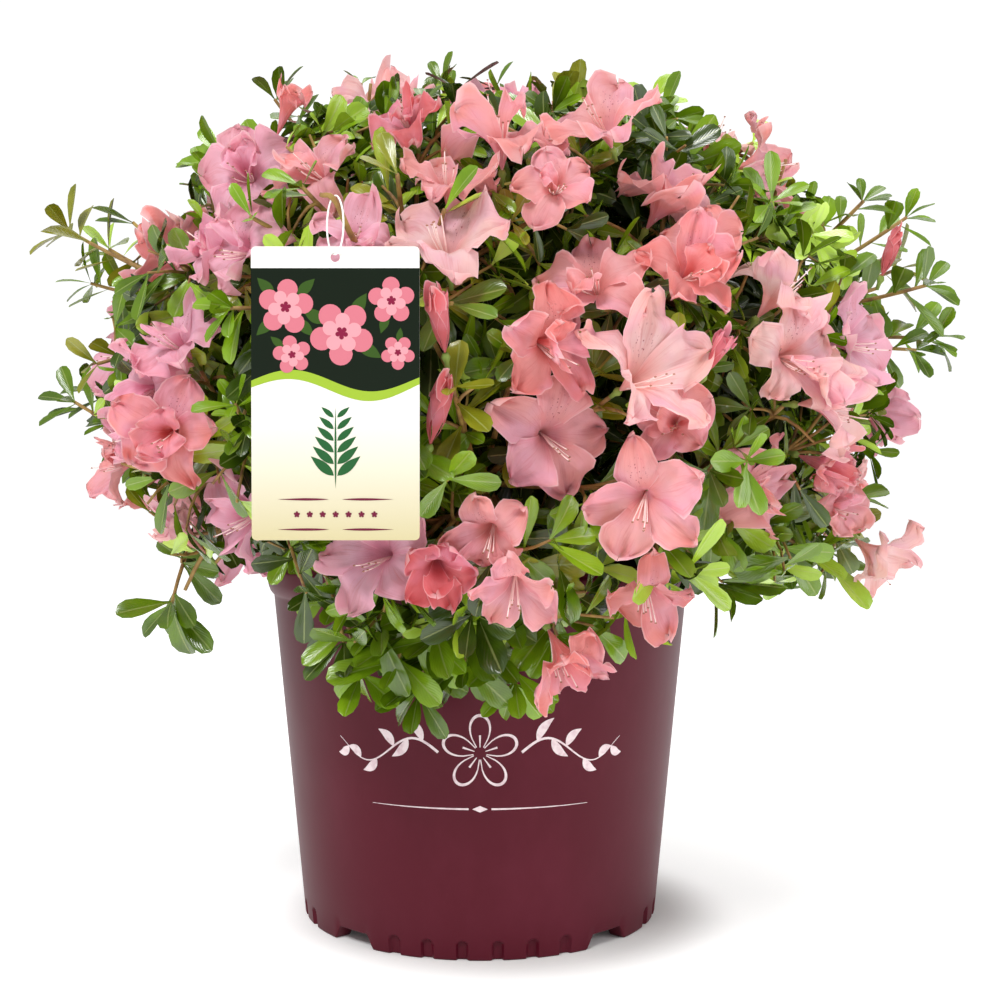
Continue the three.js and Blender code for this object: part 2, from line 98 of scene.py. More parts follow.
def srgb(code):
    """A colour as Blender's shaders take it, from its hex code."""
    parts = [int(code[i:i + 2], 16) / 255 for i in (1, 3, 5)]
    linear = [c / 12.92 if c <= 0.04045 else ((c + 0.055) / 1.055) ** 2.4 for c in parts]
    return (*linear, 1.0)


def plug(made, inputs):
    """Sets a node's inputs, or links them to sockets or to the first outputs of other nodes."""
    for name, value in inputs.items():
        if isinstance(value, bpy.types.Node):
            value = value.outputs[0]
        if isinstance(value, bpy.types.NodeSocket):
            made.id_data.links.new(value, made.inputs[name])
        else:
            made.inputs[name].default_value = value


def node(tree, kind, inputs=None, stops=(), span=(), **settings):
    """Adds a shader node with its settings and inputs, its colour stops or the two ranges it maps."""
    made = tree.nodes.new("ShaderNode" + kind)
    for name, value in settings.items():
        setattr(made, name, value)
    for _ in stops[2:]:
        made.color_ramp.elements.new(0.5)
    for k, (place, colour) in enumerate(stops):
        made.color_ramp.elements[k].position = place
        made.color_ramp.elements[k].color = srgb(colour)
    plug(made, dict(zip(("From Min", "From Max", "To Min", "To Max"), span)))
    plug(made, inputs or {})
    return made


def new_material(name, colour, **sockets):
    """A material with one Principled surface, and its node tree and that surface."""
    material = bpy.data.materials.new(name)
    material.use_nodes = True
    surface = material.node_tree.nodes["Principled BSDF"]
    plug(surface, {"Base Color": srgb(colour), "Emission Color": (1, 1, 1, 1)})
    plug(surface, {socket.replace("_", " "): value for socket, value in sockets.items()})
    return material, material.node_tree, surface


def mesh_of(name, form):
    """The mesh of a finished bmesh."""
    mesh = bpy.data.meshes.new(name)
    form.to_mesh(mesh)
    form.free()
    return mesh


floor_form = bmesh.new()
bmesh.ops.create_grid(floor_form, x_segments=2, y_segments=2, size=FLOOR_HALF)
floor = add_object("floor", mesh_of("floor", floor_form))
paper, tree, surface = new_material("matt_white_paper", "#f4f4f4", Roughness=0.9)
place = node(tree, "TexCoord").outputs["Object"]
away = node(tree, "VectorMath", {0: place}, operation="LENGTH").outputs["Value"]
lifted = node(tree, "MapRange", {"Value": away}, span=(0.4, 2.2, 0.5, 0.67))
# Painted shadow: the floor's glow drops close to the foot, round a middle a little right of and in front of
# the pot's axis
painted_shadow_middle = Vector(axis) + Vector(FOOT_SHADE)
from_foot = node(tree, "VectorMath", {0: place, 1: painted_shadow_middle}, operation="DISTANCE").outputs["Value"]
painted_shadow = node(tree, "MapRange", {"Value": from_foot}, span=(0.1, 0.158, -0.48, 0.0),
             interpolation_type="SMOOTHSTEP")
plug(surface, {"Emission Strength": node(tree, "Math", {0: lifted, 1: painted_shadow}, operation="ADD")})
floor.data.materials.append(paper)

world = bpy.data.worlds.new("surround")
bpy.context.scene.world = world
world.use_nodes = True
seen = node(world.node_tree, "LightPath").outputs["Is Camera Ray"]
bright = node(world.node_tree, "MapRange", {"Value": seen}, span=(0.0, 1.0, 0.42, 1.05))
plug(world.node_tree.nodes["Background"], {"Color": (1, 1, 1, 1), "Strength": bright})

for name, place, size, power in LAMPS:
    lamp_data = bpy.data.lights.new(name, "AREA")
    lamp_data.size = size
    lamp_data.energy = power
    lamp = add_object(name, lamp_data)
    lamp.location = Vector(place) + Vector(axis)
    aim = Vector(axis) + Vector(LAMPS_AIM) - lamp.location
    lamp.rotation_euler = aim.to_track_quat("-Z", "Y").to_euler()
bpy.context.scene.view_settings.view_transform = "Standard"


# Pot: a three gallon nursery pot, injection moulded in one piece of maroon polypropylene. Its wall
# leans out to a stepped band and a rolled lip, and it stands on a ring foot in four parts, each
# with six arched recesses.
WALL_BASE, WALL_SHOULDER, BAND_HEIGHT = 114.7, 134.5, 206.5
WALL_THICK, WALL_FROM, FOOT_WIDE, FLOOR_HEIGHT = 2.0, 24.0, 10.7, 9.0
POT_STEPS, SHARP_ANGLE = 720, 50
ARCH_WIDE, ARCH_HIGH, ARCH_DEEP, ARCH_PITCH = 6.5, 11.5, 2.4, 10.4
GAP_BEARINGS, GAP_HIGH, GAP_TOP, GAP_FOOT = (42, 138, 222, 318), 8.5, 22.0, 34.0
FOOT_ZONE, FOOT_PARTS, ARCHES_A_PART = 16.0, 4, 6
pot_height = pot_high.z / MM
rim_radius = (pot_high.x - pot_low.x) / 2 / MM


def from_axis(place):
    """A place in the frame, in millimetres from the foot of the pot's axis."""
    return (np.array(place) - axis) / MM


def in_frame(points):
    """Points in millimetres from the foot of the pot's axis, put in the frame."""
    return points * MM + axis


def wall_radius(height):
    """The radius of the pot's outside below its band."""
    return WALL_BASE + (WALL_SHOULDER - WALL_BASE) * height / BAND_HEIGHT


def add_piece(mesh, material):
    """Puts a finished mesh in the scene as a piece of the plant, named as the mesh is."""
    mesh.materials.append(material)
    piece = add_object(mesh.name, mesh)
    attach(piece, "root")
    return piece


def pot_section():
    """Radius and height of the points round one half of the pot's section, from its underside."""
    inner_foot = WALL_BASE - FOOT_WIDE
    points = [(0, FLOOR_HEIGHT), (inner_foot / 2, FLOOR_HEIGHT), (inner_foot, FLOOR_HEIGHT)]
    points += [(inner_foot, 6), (inner_foot, 3), (inner_foot, 0.7), (inner_foot + 0.7, 0)]
    points += [(inner_foot + 4, 0), (WALL_BASE - 3, 0), (WALL_BASE - 1.1, 0), (WALL_BASE - 0.3, 0.25)]
    points += [(wall_radius(z), z) for z in np.arange(1.0, FOOT_ZONE + 0.1, 0.75)]
    points += [(wall_radius(z), z) for z in np.linspace(WALL_FROM, BAND_HEIGHT - 1.2, 16)]
    lip = rim_radius - 1.1
    points += [(WALL_SHOULDER + 0.1, BAND_HEIGHT), (WALL_SHOULDER + 0.9, BAND_HEIGHT + 0.7)]
    points += [(WALL_SHOULDER + 2.4, BAND_HEIGHT + 2.6), (rim_radius - 0.5, BAND_HEIGHT + 5.5)]
    points += [(rim_radius, BAND_HEIGHT + 8), (rim_radius, pot_height - 6)]
    points += [(rim_radius - 0.1, pot_height - 5), (rim_radius - 0.6, pot_height - 4.2)]
    points += [(lip, pot_height - 3.6), (lip, pot_height - 1)]
    points += [(lip - 0.35, pot_height - 0.3), (lip - 1, pot_height), (lip - 2.4, pot_height)]
    points += [(lip - 3.1, pot_height - 0.3), (lip - 3.4, pot_height - 1)]
    points += [(wall_radius(z) - WALL_THICK, z) for z in np.linspace(BAND_HEIGHT, WALL_FROM, 10)]
    floor_top = FLOOR_HEIGHT + WALL_THICK
    points += [(wall_radius(14) - WALL_THICK - 1.4, 14), (wall_radius(11) - WALL_THICK - 5, floor_top)]
    return points + [(50, floor_top), (0, floor_top)]


def between(value, low, high):
    """A smooth step from 0 at low to 1 at high."""
    part = np.clip((value - low) / (high - low), 0.0, 1.0)
    return part * part * (3 - 2 * part)


pot_form = bmesh.new()
corners = [pot_form.verts.new((radius * MM, 0, height * MM)) for radius, height in pot_section()]
edges = [pot_form.edges.new(pair) for pair in zip(corners, corners[1:])]
bmesh.ops.spin(pot_form, geom=corners + edges, cent=(0, 0, 0), axis=(0, 0, 1), angle=2 * math.pi,
               steps=POT_STEPS, use_merge=True)
bmesh.ops.remove_doubles(pot_form, verts=pot_form.verts, dist=1e-6)
bmesh.ops.recalc_face_normals(pot_form, faces=pot_form.faces)
pot_mesh = mesh_of("nursery_pot", pot_form)

# The recesses and the gaps in the foot are pressed into the turned shape
co = np.empty(len(pot_mesh.vertices) * 3)
pot_mesh.vertices.foreach_get("co", co)
co = co.reshape(-1, 3) / MM
out = np.hypot(co[:, 0], co[:, 1])
bearing = np.degrees(np.arctan2(co[:, 0], -co[:, 1])) % 360
inner_wall = np.abs(out - (WALL_BASE - FOOT_WIDE)) < 0.1
in_foot = (co[:, 2] < FOOT_ZONE) & (out > WALL_BASE - FOOT_WIDE - 0.1)
on_wall = in_foot & (out > WALL_BASE - 2)
spring = ARCH_HIGH - ARCH_WIDE / 2


def along_wall(centre):
    """How far the pot's points lie round its wall from a bearing."""
    return np.radians((bearing - centre + 180) % 360 - 180) * WALL_BASE


for foot in range(FOOT_PARTS):
    for i in range(ARCHES_A_PART):
        along = along_wall(foot * 360 / FOOT_PARTS + (i - (ARCHES_A_PART - 1) / 2) * ARCH_PITCH)
        rise = np.maximum(co[:, 2] - spring, 0)
        edge = np.hypot(along, rise) - ARCH_WIDE / 2
        depth = np.where(on_wall, ARCH_DEEP * (1 - between(edge, -0.5, 0.45)), 0)
        co[:, :2] *= (1 - depth / np.maximum(out, 1))[:, None]
for centre in GAP_BEARINGS:
    raised = GAP_HIGH * (1 - between(np.abs(along_wall(centre)), GAP_TOP / 2, GAP_FOOT / 2))
    zone = np.where(inner_wall, FLOOR_HEIGHT, FOOT_ZONE)
    lifted = raised + co[:, 2] * (zone - raised) / zone
    co[:, 2] = np.where(in_foot & (co[:, 2] < zone), lifted, co[:, 2])
pot_mesh.vertices.foreach_set("co", in_frame(co).ravel())
pot_mesh.polygons.foreach_set("use_smooth", np.ones(len(pot_mesh.polygons), bool))
pot_mesh.set_sharp_from_angle(angle=math.radians(SHARP_ANGLE))

# Injection-moulded polypropylene: a satin skin with a fine grain, and a few paler rubbed streaks
moulded, tree, surface = new_material("moulded_maroon_polypropylene", "#540f20", Roughness=0.42, IOR=1.49,
                                      Specular_IOR_Level=0.17)
place = node(tree, "TexCoord").outputs["Object"]
streaks = node(tree, "Mapping", {"Vector": place, "Scale": (1 / (38 * MM), 1 / (38 * MM), 1 / (65 * MM))})
rubbed = node(tree, "TexNoise", {"Vector": streaks, "Scale": 1.0, "Detail": 6, "Roughness": 0.6})
rubbed = node(tree, "ValToRGB", {"Fac": rubbed}, stops=[(0.45, "#520e1f"), (0.9, "#5b1829")])
patches = node(tree, "TexNoise", {"Vector": place, "Scale": 1 / (71.4 * MM), "Detail": 3})
satin = node(tree, "MapRange", {"Value": patches}, span=(0.0, 1.0, 0.36, 0.5))
grain = node(tree, "TexNoise", {"Vector": place, "Scale": 1 / (0.9 * MM), "Detail": 2})
grain = node(tree, "Bump", {"Height": grain, "Strength": 0.12, "Distance": 0.1 * MM})
plug(surface, {"Base Color": rubbed, "Roughness": satin, "Normal": grain})
pot_piece = add_piece(pot_mesh, moulded)
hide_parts("pot")


# Pot ornament: a blossom between two leafy sprigs over a fine rule, screen printed on the front of
# the pot in one pinkish white ink. It is drawn as strokes that swell and taper.
INK_LIFT = 0.12
ORNAMENT_HEIGHT, ORNAMENT_SCALE = 124.0, 1.1


def path_normals(path):
    """Unit vectors to the left of a flat path at each of its points."""
    along = np.gradient(path, axis=0)
    along /= np.linalg.norm(along, axis=1)[:, None]
    return np.stack([-along[:, 1], along[:, 0]], axis=1)


def strip_faces(count, start=0):
    """The triangles of a strip between two rows of points, numbered left and right in turn."""
    i = start + 2 * np.arange(count - 1)
    return np.concatenate([np.stack([i, i + 1, i + 3], 1), np.stack([i, i + 3, i + 2], 1)])


def stroke(path, widths):
    """A flat stroke along a path, as points and triangles."""
    side = path_normals(path) * np.asarray(widths)[:, None] / 2
    points = np.stack([path + side, path - side], axis=1).reshape(-1, 2)
    return points, strip_faces(len(path))


def ornament_strokes():
    """The paths of the ornament's strokes, in millimetres from its middle, with their widths."""
    strokes = []
    t = np.linspace(0, 1, 25)
    for k in range(5):
        middle = math.radians(90 + k * 72)
        reach = 3.5 + 16.5 * np.sin(np.pi * t) ** 0.55
        angle = middle + np.radians(62) * (t - 0.5)
        path = np.stack([reach * np.cos(angle), reach * np.sin(angle)], 1)
        strokes.append((path, 0.5 + 1.1 * np.sin(np.pi * t)))
        line = np.linspace(3, 9.5, 6)[:, None] * [math.cos(middle), math.sin(middle)]
        strokes.append((line, np.linspace(0.4, 1.1, 6)))
    for hand in (-1, 1):
        x = np.linspace(22, 82, 30)
        wave = 7 * np.sin((x - 22) / 60 * 2.2 * np.pi)
        stem = np.stack([hand * x, wave], 1)
        strokes.append((stem, np.linspace(1.5, 0.3, 30)))
        for i, (leaf_at, lean) in enumerate([(4, 52), (8, -48), (12, 44), (17, -40), (22, 34), (26, -30)]):
            s = np.linspace(0, 1, 12)
            along = np.array([hand * math.cos(math.radians(lean)), math.sin(math.radians(lean))])
            bow = np.array([-along[1], along[0]]) * hand * math.copysign(1.6, lean)
            path = stem[leaf_at] + s[:, None] * along * (15 - 1.3 * i) + np.sin(np.pi * s)[:, None] * bow
            strokes.append((path, 0.25 + 4.6 * np.sin(np.pi * s ** 0.85)))
        rule = np.stack([hand * np.linspace(6, 60, 16), np.full(16, -30.0)], 1)
        strokes.append((rule, np.linspace(1.0, 0.25, 16)))
    diamond = np.stack([np.linspace(-4, 4, 9), np.full(9, -30.0)], 1)
    strokes.append((diamond, 3.4 * (1 - np.abs(np.linspace(-1, 1, 9))) + 0.1))
    return strokes


def mesh_from(name, points, faces, uvs=None):
    """A smooth mesh from arrays of points in metres and triangles, with a UV for each point."""
    mesh = bpy.data.meshes.new(name)
    mesh.vertices.add(len(points))
    mesh.vertices.foreach_set("co", np.ascontiguousarray(points, dtype=np.float32).ravel())
    mesh.loops.add(faces.size)
    mesh.loops.foreach_set("vertex_index", faces.ravel().astype(np.int32))
    mesh.polygons.add(len(faces))
    mesh.polygons.foreach_set("loop_start", np.arange(0, faces.size, 3, dtype=np.int32))
    mesh.polygons.foreach_set("use_smooth", np.ones(len(faces), bool))
    mesh.update(calc_edges=True)
    if uvs is not None:
        layer = mesh.uv_layers.new(name="UVMap")
        layer.data.foreach_set("uv", uvs[faces.ravel()].astype(np.float32).ravel())
    return mesh


class Joined:
    """Many small shapes of one kind, in millimetres from the pot's axis, that make one mesh."""

    def __init__(self):
        self.points, self.faces, self.uvs, self.count = [], [], [], 0

    def add(self, points, faces, uvs=None):
        self.points.append(points)
        self.faces.append(faces + self.count)
        self.uvs.append(np.zeros((len(points), 2)) if uvs is None else uvs)
        self.count += len(points)

    def mesh(self, name):
        points = in_frame(np.concatenate(self.points))
        return mesh_from(name, points, np.concatenate(self.faces), np.concatenate(self.uvs))


ornament = Joined()
for path, widths in ornament_strokes():
    flat, faces = stroke(path, widths)
    across, height = (flat * ORNAMENT_SCALE + (0, ORNAMENT_HEIGHT)).T
    radius = wall_radius(height) + INK_LIFT
    angle = across / radius
    ornament.add(np.stack([radius * np.sin(angle), -radius * np.cos(angle), height], 1), faces)

# Screen printed ink: a thin matt film, a little worn, so the pot shows through in small specks
ink, tree, surface = new_material("screen_printed_ink", "#e6d2d6", Roughness=0.5, IOR=1.5)
place = node(tree, "TexCoord").outputs["Object"]
worn = node(tree, "TexNoise", {"Vector": place, "Scale": 1 / (3.85 * MM), "Detail": 4})
worn = node(tree, "ValToRGB", {"Fac": worn}, stops=[(0.3, "#d3b6bd"), (0.55, "#ead8db")])
plug(surface, {"Base Color": worn})
add_piece(ornament.mesh("pot_ornament"), ink)


# Soil: potting mix of composted pine bark, a little below the pot's lip, with loose chips of bark
# lying on it. The body of the mix keeps its plain solid.
CHIPS, CHIP_LONG, SOIL_TOP, SOIL_RADIUS = 420, 11.0, 204.5, 128
SPIRAL = math.radians(137.5)


def chance(i, j):
    """A seeded chance from 0 to 1, the same for the same two numbers."""
    wave = math.sin(i * 127.1 + j * 311.7) * 43758.5453
    return wave - math.floor(wave)


def grain_of(radius):
    """The points and triangles of a small round grain."""
    form = bmesh.new()
    bmesh.ops.create_icosphere(form, subdivisions=1, radius=radius)
    points = np.array([v.co for v in form.verts])
    faces = np.array([[v.index for v in f.verts] for f in form.faces])
    form.free()
    return points, faces


chips = Joined()
chip_points, chip_faces = grain_of(0.5)
for i in range(CHIPS):
    reach = SOIL_RADIUS * math.sqrt((i + 0.5) / CHIPS)
    angle = i * SPIRAL
    size = np.array([1, 0.3 + 0.4 * chance(i, 2), 0.22 + 0.2 * chance(i, 3)])
    size = CHIP_LONG * (0.5 + 0.9 * chance(i, 1)) * size
    rough = 1 + 0.35 * np.array([chance(i, 10 + k) - 0.5 for k in range(len(chip_points))])[:, None]
    turn, tilt = 2 * math.pi * chance(i, 4), 0.7 * (chance(i, 5) - 0.5)
    spin = np.array([[math.cos(turn), -math.sin(turn), 0], [math.sin(turn), math.cos(turn), 0], [0, 0, 1]])
    lean = np.array([[math.cos(tilt), 0, -math.sin(tilt)], [0, 1, 0], [math.sin(tilt), 0, math.cos(tilt)]])
    centre = np.array([reach * math.sin(angle), -reach * math.cos(angle), SOIL_TOP + 3 * chance(i, 6)])
    chips.add((chip_points * rough * size) @ (spin @ lean).T + centre, chip_faces)

# Composted pine bark: dull damp crumbs of three browns
bark_mix, tree, surface = new_material("composted_pine_bark", "#3a2618", Roughness=0.95)
place = node(tree, "TexCoord").outputs["Object"]
crumbs = node(tree, "TexVoronoi", {"Vector": place, "Scale": 1 / (4 * MM)})
tones = node(tree, "ValToRGB", {"Fac": crumbs.outputs["Color"]},
             stops=[(0.1, "#20140d"), (0.5, "#43301f"), (0.9, "#6a4a31")])
lumps = node(tree, "Bump", {"Height": crumbs.outputs["Distance"], "Strength": 0.8, "Distance": 1.5 * MM})
plug(surface, {"Base Color": tones, "Normal": lumps})
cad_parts["soil"].data.materials.clear()
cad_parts["soil"].data.materials.append(bark_mix)
add_piece(chips.mesh("bark_chips"), bark_mix)


# Stem and boughs: one short stem that widens at the foot, and boughs that leave it in four rings
# and bow upwards. The wood is brown-grey, with bark in fine lengthwise flakes.
HEART, SPREAD, RISE, DROP, FULLNESS = 330, 262, 215, 230, 2.2
RINGS = [
    # name, number, elevation, turn, height at the stem, thickness, bow
    ("lower", 8, -17, 0, 219, 4, 1.1), ("middle", 7, 18, -13, 231, 4, 1.15),
    ("upper", 5, 52, 20, 240, 3.6, 1.35), ("top", 1, 90, 0, 264.6, 5, 1),
]
BOUGH_ENDS, BOUGH_TIP, MASS_TIP, MASS_AT = 0.64, 3.0, 2.0, 0.66
STEM_LINE = [(16.5, 205.3), (13.5, 212), (12.5, 225), (11, 251), (10, 264.3)]  # radius and height


def at(bearing, out, height):
    """A point at a bearing, a distance out from the pot's axis and a height."""
    b = math.radians(bearing)
    return np.array([out * math.sin(b), -out * math.cos(b), height])


def above_heart(height):
    """How far above or below the heart a height lies, as a share of the crown's reach that way."""
    up = height - HEART
    return up / (RISE if up > 0 else DROP)


def share(p):
    """How far out a point lies in the crown: 0 at the heart and 1 on the outline."""
    across = math.hypot(p[0], p[1]) / SPREAD
    return (across ** FULLNESS + abs(above_heart(p[2])) ** FULLNESS) ** (1 / FULLNESS)


def towards(bearing, elevation, part=1.0):
    """The point of the outline in a direction from the heart, or a share of the way to it."""
    e = math.radians(elevation)
    reach = part / share(at(bearing, math.cos(e), HEART + math.sin(e)))
    return at(bearing, math.cos(e) * reach, HEART + math.sin(e) * reach)


def on_outline(bearing, height):
    """The point of the outline at a bearing and a height."""
    return at(bearing, SPREAD * (1 - abs(above_heart(height)) ** FULLNESS) ** (1 / FULLNESS), height)


def unit(v):
    """A direction of length 1."""
    return v / np.linalg.norm(v)


def outward(p):
    """The direction that faces straight out of the crown at a point."""
    up = above_heart(p[2])
    across = math.hypot(p[0], p[1])
    flat = (across / SPREAD) ** (FULLNESS - 1) / SPREAD / (across or 1)
    steep = math.copysign(abs(up) ** (FULLNESS - 1) / (RISE if up > 0 else DROP), up)
    return unit(np.array([p[0] * flat, p[1] * flat, steep]))


def square_to(direction):
    """Two directions square to a direction and to each other."""
    reference = (1, 0, 0) if abs(direction[2]) > 0.8 else (0, 0, 1)
    side = unit(np.cross(reference, direction))
    return side, np.cross(side, direction)


def splayed(direction, angle, turn):
    """A direction turned away from another, on the side that a turn about it picks."""
    side, other = square_to(direction)
    lean = math.radians(angle)
    return math.cos(lean) * direction + math.sin(lean) * (math.cos(turn) * side + math.sin(turn) * other)


def bent(line, t):
    """Points of the bow between the ends of a line of three points."""
    t = np.atleast_1d(t)[:, None]
    return (1 - t) ** 2 * line[0] + 2 * t * (1 - t) * line[1] + t ** 2 * line[2]


def heading_at(line, t):
    """The direction of the bow between the ends of a line of three points."""
    return unit(2 * (1 - t) * (line[1] - line[0]) + 2 * t * (line[2] - line[1]))


def tube(points, radii, sides, relief=0.0):
    """A closed round limb along points, with a relief along its length as a share of its radius."""
    along = np.gradient(points, axis=0)
    along /= np.linalg.norm(along, axis=1)[:, None]
    side = np.empty_like(points)
    side[0] = square_to(along[0])[0]
    for i in range(1, len(points)):
        side[i] = unit(side[i - 1] - along[i] * (side[i - 1] @ along[i]))
    other = np.cross(along, side)
    angle = np.arange(sides) * 2 * math.pi / sides
    ring = np.cos(angle)[None, :, None] * side[:, None] + np.sin(angle)[None, :, None] * other[:, None]
    size = np.asarray(radii, float)[:, None] * np.ones(sides)
    if relief:
        for i in range(len(points)):
            for j in range(sides):
                where = Vector((4 * math.cos(angle[j]), 4 * math.sin(angle[j]), i * 0.7 + radii[0] * 9))
                size[i, j] *= 1 + relief * noise.fractal(where, 0.8, 2.1, 4)
    rings = points[:, None] + ring * size[:, :, None]
    verts = np.concatenate([rings.reshape(-1, 3), points[:1], points[-1:]])
    i, j = np.meshgrid(np.arange(len(points) - 1), np.arange(sides), indexing="ij")
    a, b = i * sides + j, i * sides + (j + 1) % sides
    c, d = b + sides, a + sides
    quads = np.stack([a, b, c, a, c, d], -1).reshape(-1, 3)
    k = np.arange(sides)
    start = np.stack([0 * k + len(points) * sides, (k + 1) % sides, k], 1)
    end = (len(points) - 1) * sides
    stop = np.stack([0 * k + len(points) * sides + 1, end + k, end + (k + 1) % sides], 1)
    return verts, np.concatenate([quads, start, stop])


masses = []
for name, number, elevation, turn, level, girth, bow in RINGS:
    for i in range(number):
        middle = towards(turn + i * 360 / number, elevation, MASS_AT)
        root = np.array([0.0, 0.0, level])
        leader = (root, (root + middle) / 2 * (bow, bow, 1), middle)
        masses.append({"name": f"{name}_mass_{i + 1}", "bough": f"{name}_bough_{i + 1}", "girth": girth,
                       "middle": middle, "leader": leader, "twigs": []})

wood = Joined()
heights = np.linspace(STEM_LINE[0][1], STEM_LINE[-1][1], 26)
radii = np.interp(heights, [z for _, z in STEM_LINE], [r for r, _ in STEM_LINE])
wood.add(*tube(np.stack([0 * heights, 0 * heights, heights], 1), radii, 20, relief=0.14))
for mass in masses:
    t = np.linspace(0, BOUGH_ENDS, 26)
    radii = np.interp(t, [0, BOUGH_ENDS], [mass["girth"], BOUGH_TIP])
    wood.add(*tube(bent(mass["leader"], t), radii, 12, relief=0.16))

# Azalea bark: dull, and darker in the cracks between its flakes
bark, tree, surface = new_material("flaking_azalea_bark", "#6f5636", Roughness=0.85)
place = node(tree, "TexCoord").outputs["Object"]
flakes = node(tree, "TexNoise", {"Vector": place, "Scale": 1 / (5 * MM), "Detail": 5, "Roughness": 0.7})
tones = node(tree, "ValToRGB", {"Fac": flakes},
             stops=[(0.3, "#3d2c1c"), (0.5, "#6a5035"), (0.7, "#8d7450")])
ridges = node(tree, "Bump", {"Height": flakes, "Strength": 0.6, "Distance": 0.6 * MM})
plug(surface, {"Base Color": tones, "Normal": ridges})
wood_piece = add_piece(wood.mesh("stem_and_boughs"), bark)
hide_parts("stem", *[mass["bough"] for mass in masses])


# Blossom places: open blooms, half-open ones and buds stand at the ends of twigs all over the
# crown. Those on the front are placed one by one, and the rest go round by the golden angle.
FRONT_BLOOMS = [
    # bearing, height and width of the bloom, its tone, and how open and how double it is
    (-40, 462, 80, "lilac", 1, 3), (-24, 452, 72, "salmon", 1, 1), (-4, 440, 70, "salmon", 1, 0),
    (3, 462, 88, "salmon", 1, 1), (17, 466, 84, "salmon", 1, 0), (29, 446, 86, "salmon", 1, 3),
    (-37, 414, 74, "lilac", 1, 2), (-4, 400, 84, "pale", 1, 0), (13, 383, 78, "salmon", 1, 1),
    (41, 386, 84, "pale", 1, 0), (8, 346, 76, "coral", 1, 2), (18, 334, 92, "pale", 1, 0),
    (40, 346, 82, "pale", 1, 1), (-43, 360, 70, "lilac", 1, 1), (-48, 330, 70, "lilac", 1, 2),
    (-40, 305, 80, "coral", 1, 3), (-37, 250, 80, "lilac", 1, 1), (9, 299, 84, "salmon", 1, 0),
    (24, 309, 70, "salmon", 0.7, 1), (46, 322, 86, "pale", 1, 1), (18, 270, 80, "salmon", 1, 0),
    (41, 270, 76, "salmon", 1, 2), (71, 236, 78, "pale", 0.9, 0), (-13, 240, 86, "lilac", 1, 0),
    (1, 250, 66, "salmon", 0.75, 0), (23, 214, 68, "coral", 0.9, 0), (12, 186, 74, "coral", 0.7, 1),
    (-37, 490, 52, "coral", 0.4, 0), (-12, 480, 60, "rose", 0.9, 2), (9, 425, 60, "salmon", 0.9, 1),
    (-31, 402, 66, "lilac", 1, 1), (-14, 400, 62, "lilac", 1, 1), (-4, 352, 48, "rose", 0.25, 0),
    (-5, 308, 50, "rose", 0.2, 0), (28, 405, 60, "salmon", 0.9, 1), (24, 385, 66, "coral", 1, 2),
    (26, 341, 40, "rose", 0.3, 0), (-5, 236, 64, "rose", 0.6, 1), (4, 228, 62, "salmon", 0.9, 0),
    (71, 409, 40, "rose", 0.15, 0), (53, 286, 62, "coral", 0.5, 2), (58, 262, 62, "salmon", 0.7, 1),
]
TONES = ["salmon", "coral", "lilac", "pale", "salmon", "lilac", "pale"]
SPREAD_COUNT, EXTRA_BLOOMS, BLOOM_SHARE, BLOOM_ROOM = 68, 300, 0.7, 46
BLOOM_WIDTH, BLOOM_SCALE, BLOOM_TUBE, LOWEST_BLOOM = 76, 0.78, 0.62, 226
FRONT_SECTOR, FRONT_TOP, FRONT_REACH, RIGHT_SECTOR, RIGHT_REACH = 56, 60, 0.97, 60, 1.09
LEFT_SIDE, LEFT_SECTOR, LEFT_LESS, LEFT_LESS_LOW, LEFT_LOW = -85, 40, 0.09, 0.07, 240
SKIRT, GOLDEN = -34, 180 * (3 - math.sqrt(5))
STEPS_APART, ENOUGH_APART, OVERLAP, SEAT = (0, 8, -8, 14, -14), 12, 0.48, 5


def golden_places(count):
    """Bearings and elevations spread evenly over the crown from its top down to its skirt."""
    lowest = math.sin(math.radians(SKIRT))
    for k in range(count):
        elevation = math.degrees(math.asin(1 + (lowest - 1) * (k + 0.5) / count))
        yield k, (k * GOLDEN + 180) % 360 - 180, elevation


def lean_of(bearing, height):
    """How far the crown reaches on a side: it grew a little less on its left, most so low down."""
    on_left = math.exp(-(((bearing - LEFT_SIDE + 180) % 360 - 180) / LEFT_SECTOR) ** 2)
    return 1 - (LEFT_LESS + LEFT_LESS_LOW * between(height, HEART, LEFT_LOW)) * on_left


blooms = []


def add_bloom(centre, width, tone, openness, petaloids, seed):
    """Notes a bloom; those that overlap stand one before the other, and buds point up."""
    out = outward(centre)
    facing = splayed(out, 8 + 30 * chance(seed, 1), 2 * math.pi * chance(seed, 2))
    if openness < 0.5:
        facing = unit(facing * 0.5 + (1.1 * (chance(seed, 15) - 0.5), 0, 0.85))
    width = width * BLOOM_SCALE
    near = [bloom["centre"] - centre for bloom in blooms
            if np.linalg.norm(bloom["centre"] - centre) < OVERLAP * (bloom["width"] + width)]
    gaps = [min([abs(apart @ out - step) for apart in near] + [ENOUGH_APART]) for step in STEPS_APART]
    step = STEPS_APART[int(np.argmax(gaps))]
    blooms.append({"centre": centre + out * (step - SEAT), "facing": facing, "width": width, "tone": tone,
                   "open": openness, "petaloids": petaloids, "seed": seed})


def room_around(p):
    """How far a point is from the middle of the nearest bloom."""
    return min(np.linalg.norm(bloom["centre"] - p) for bloom in blooms)


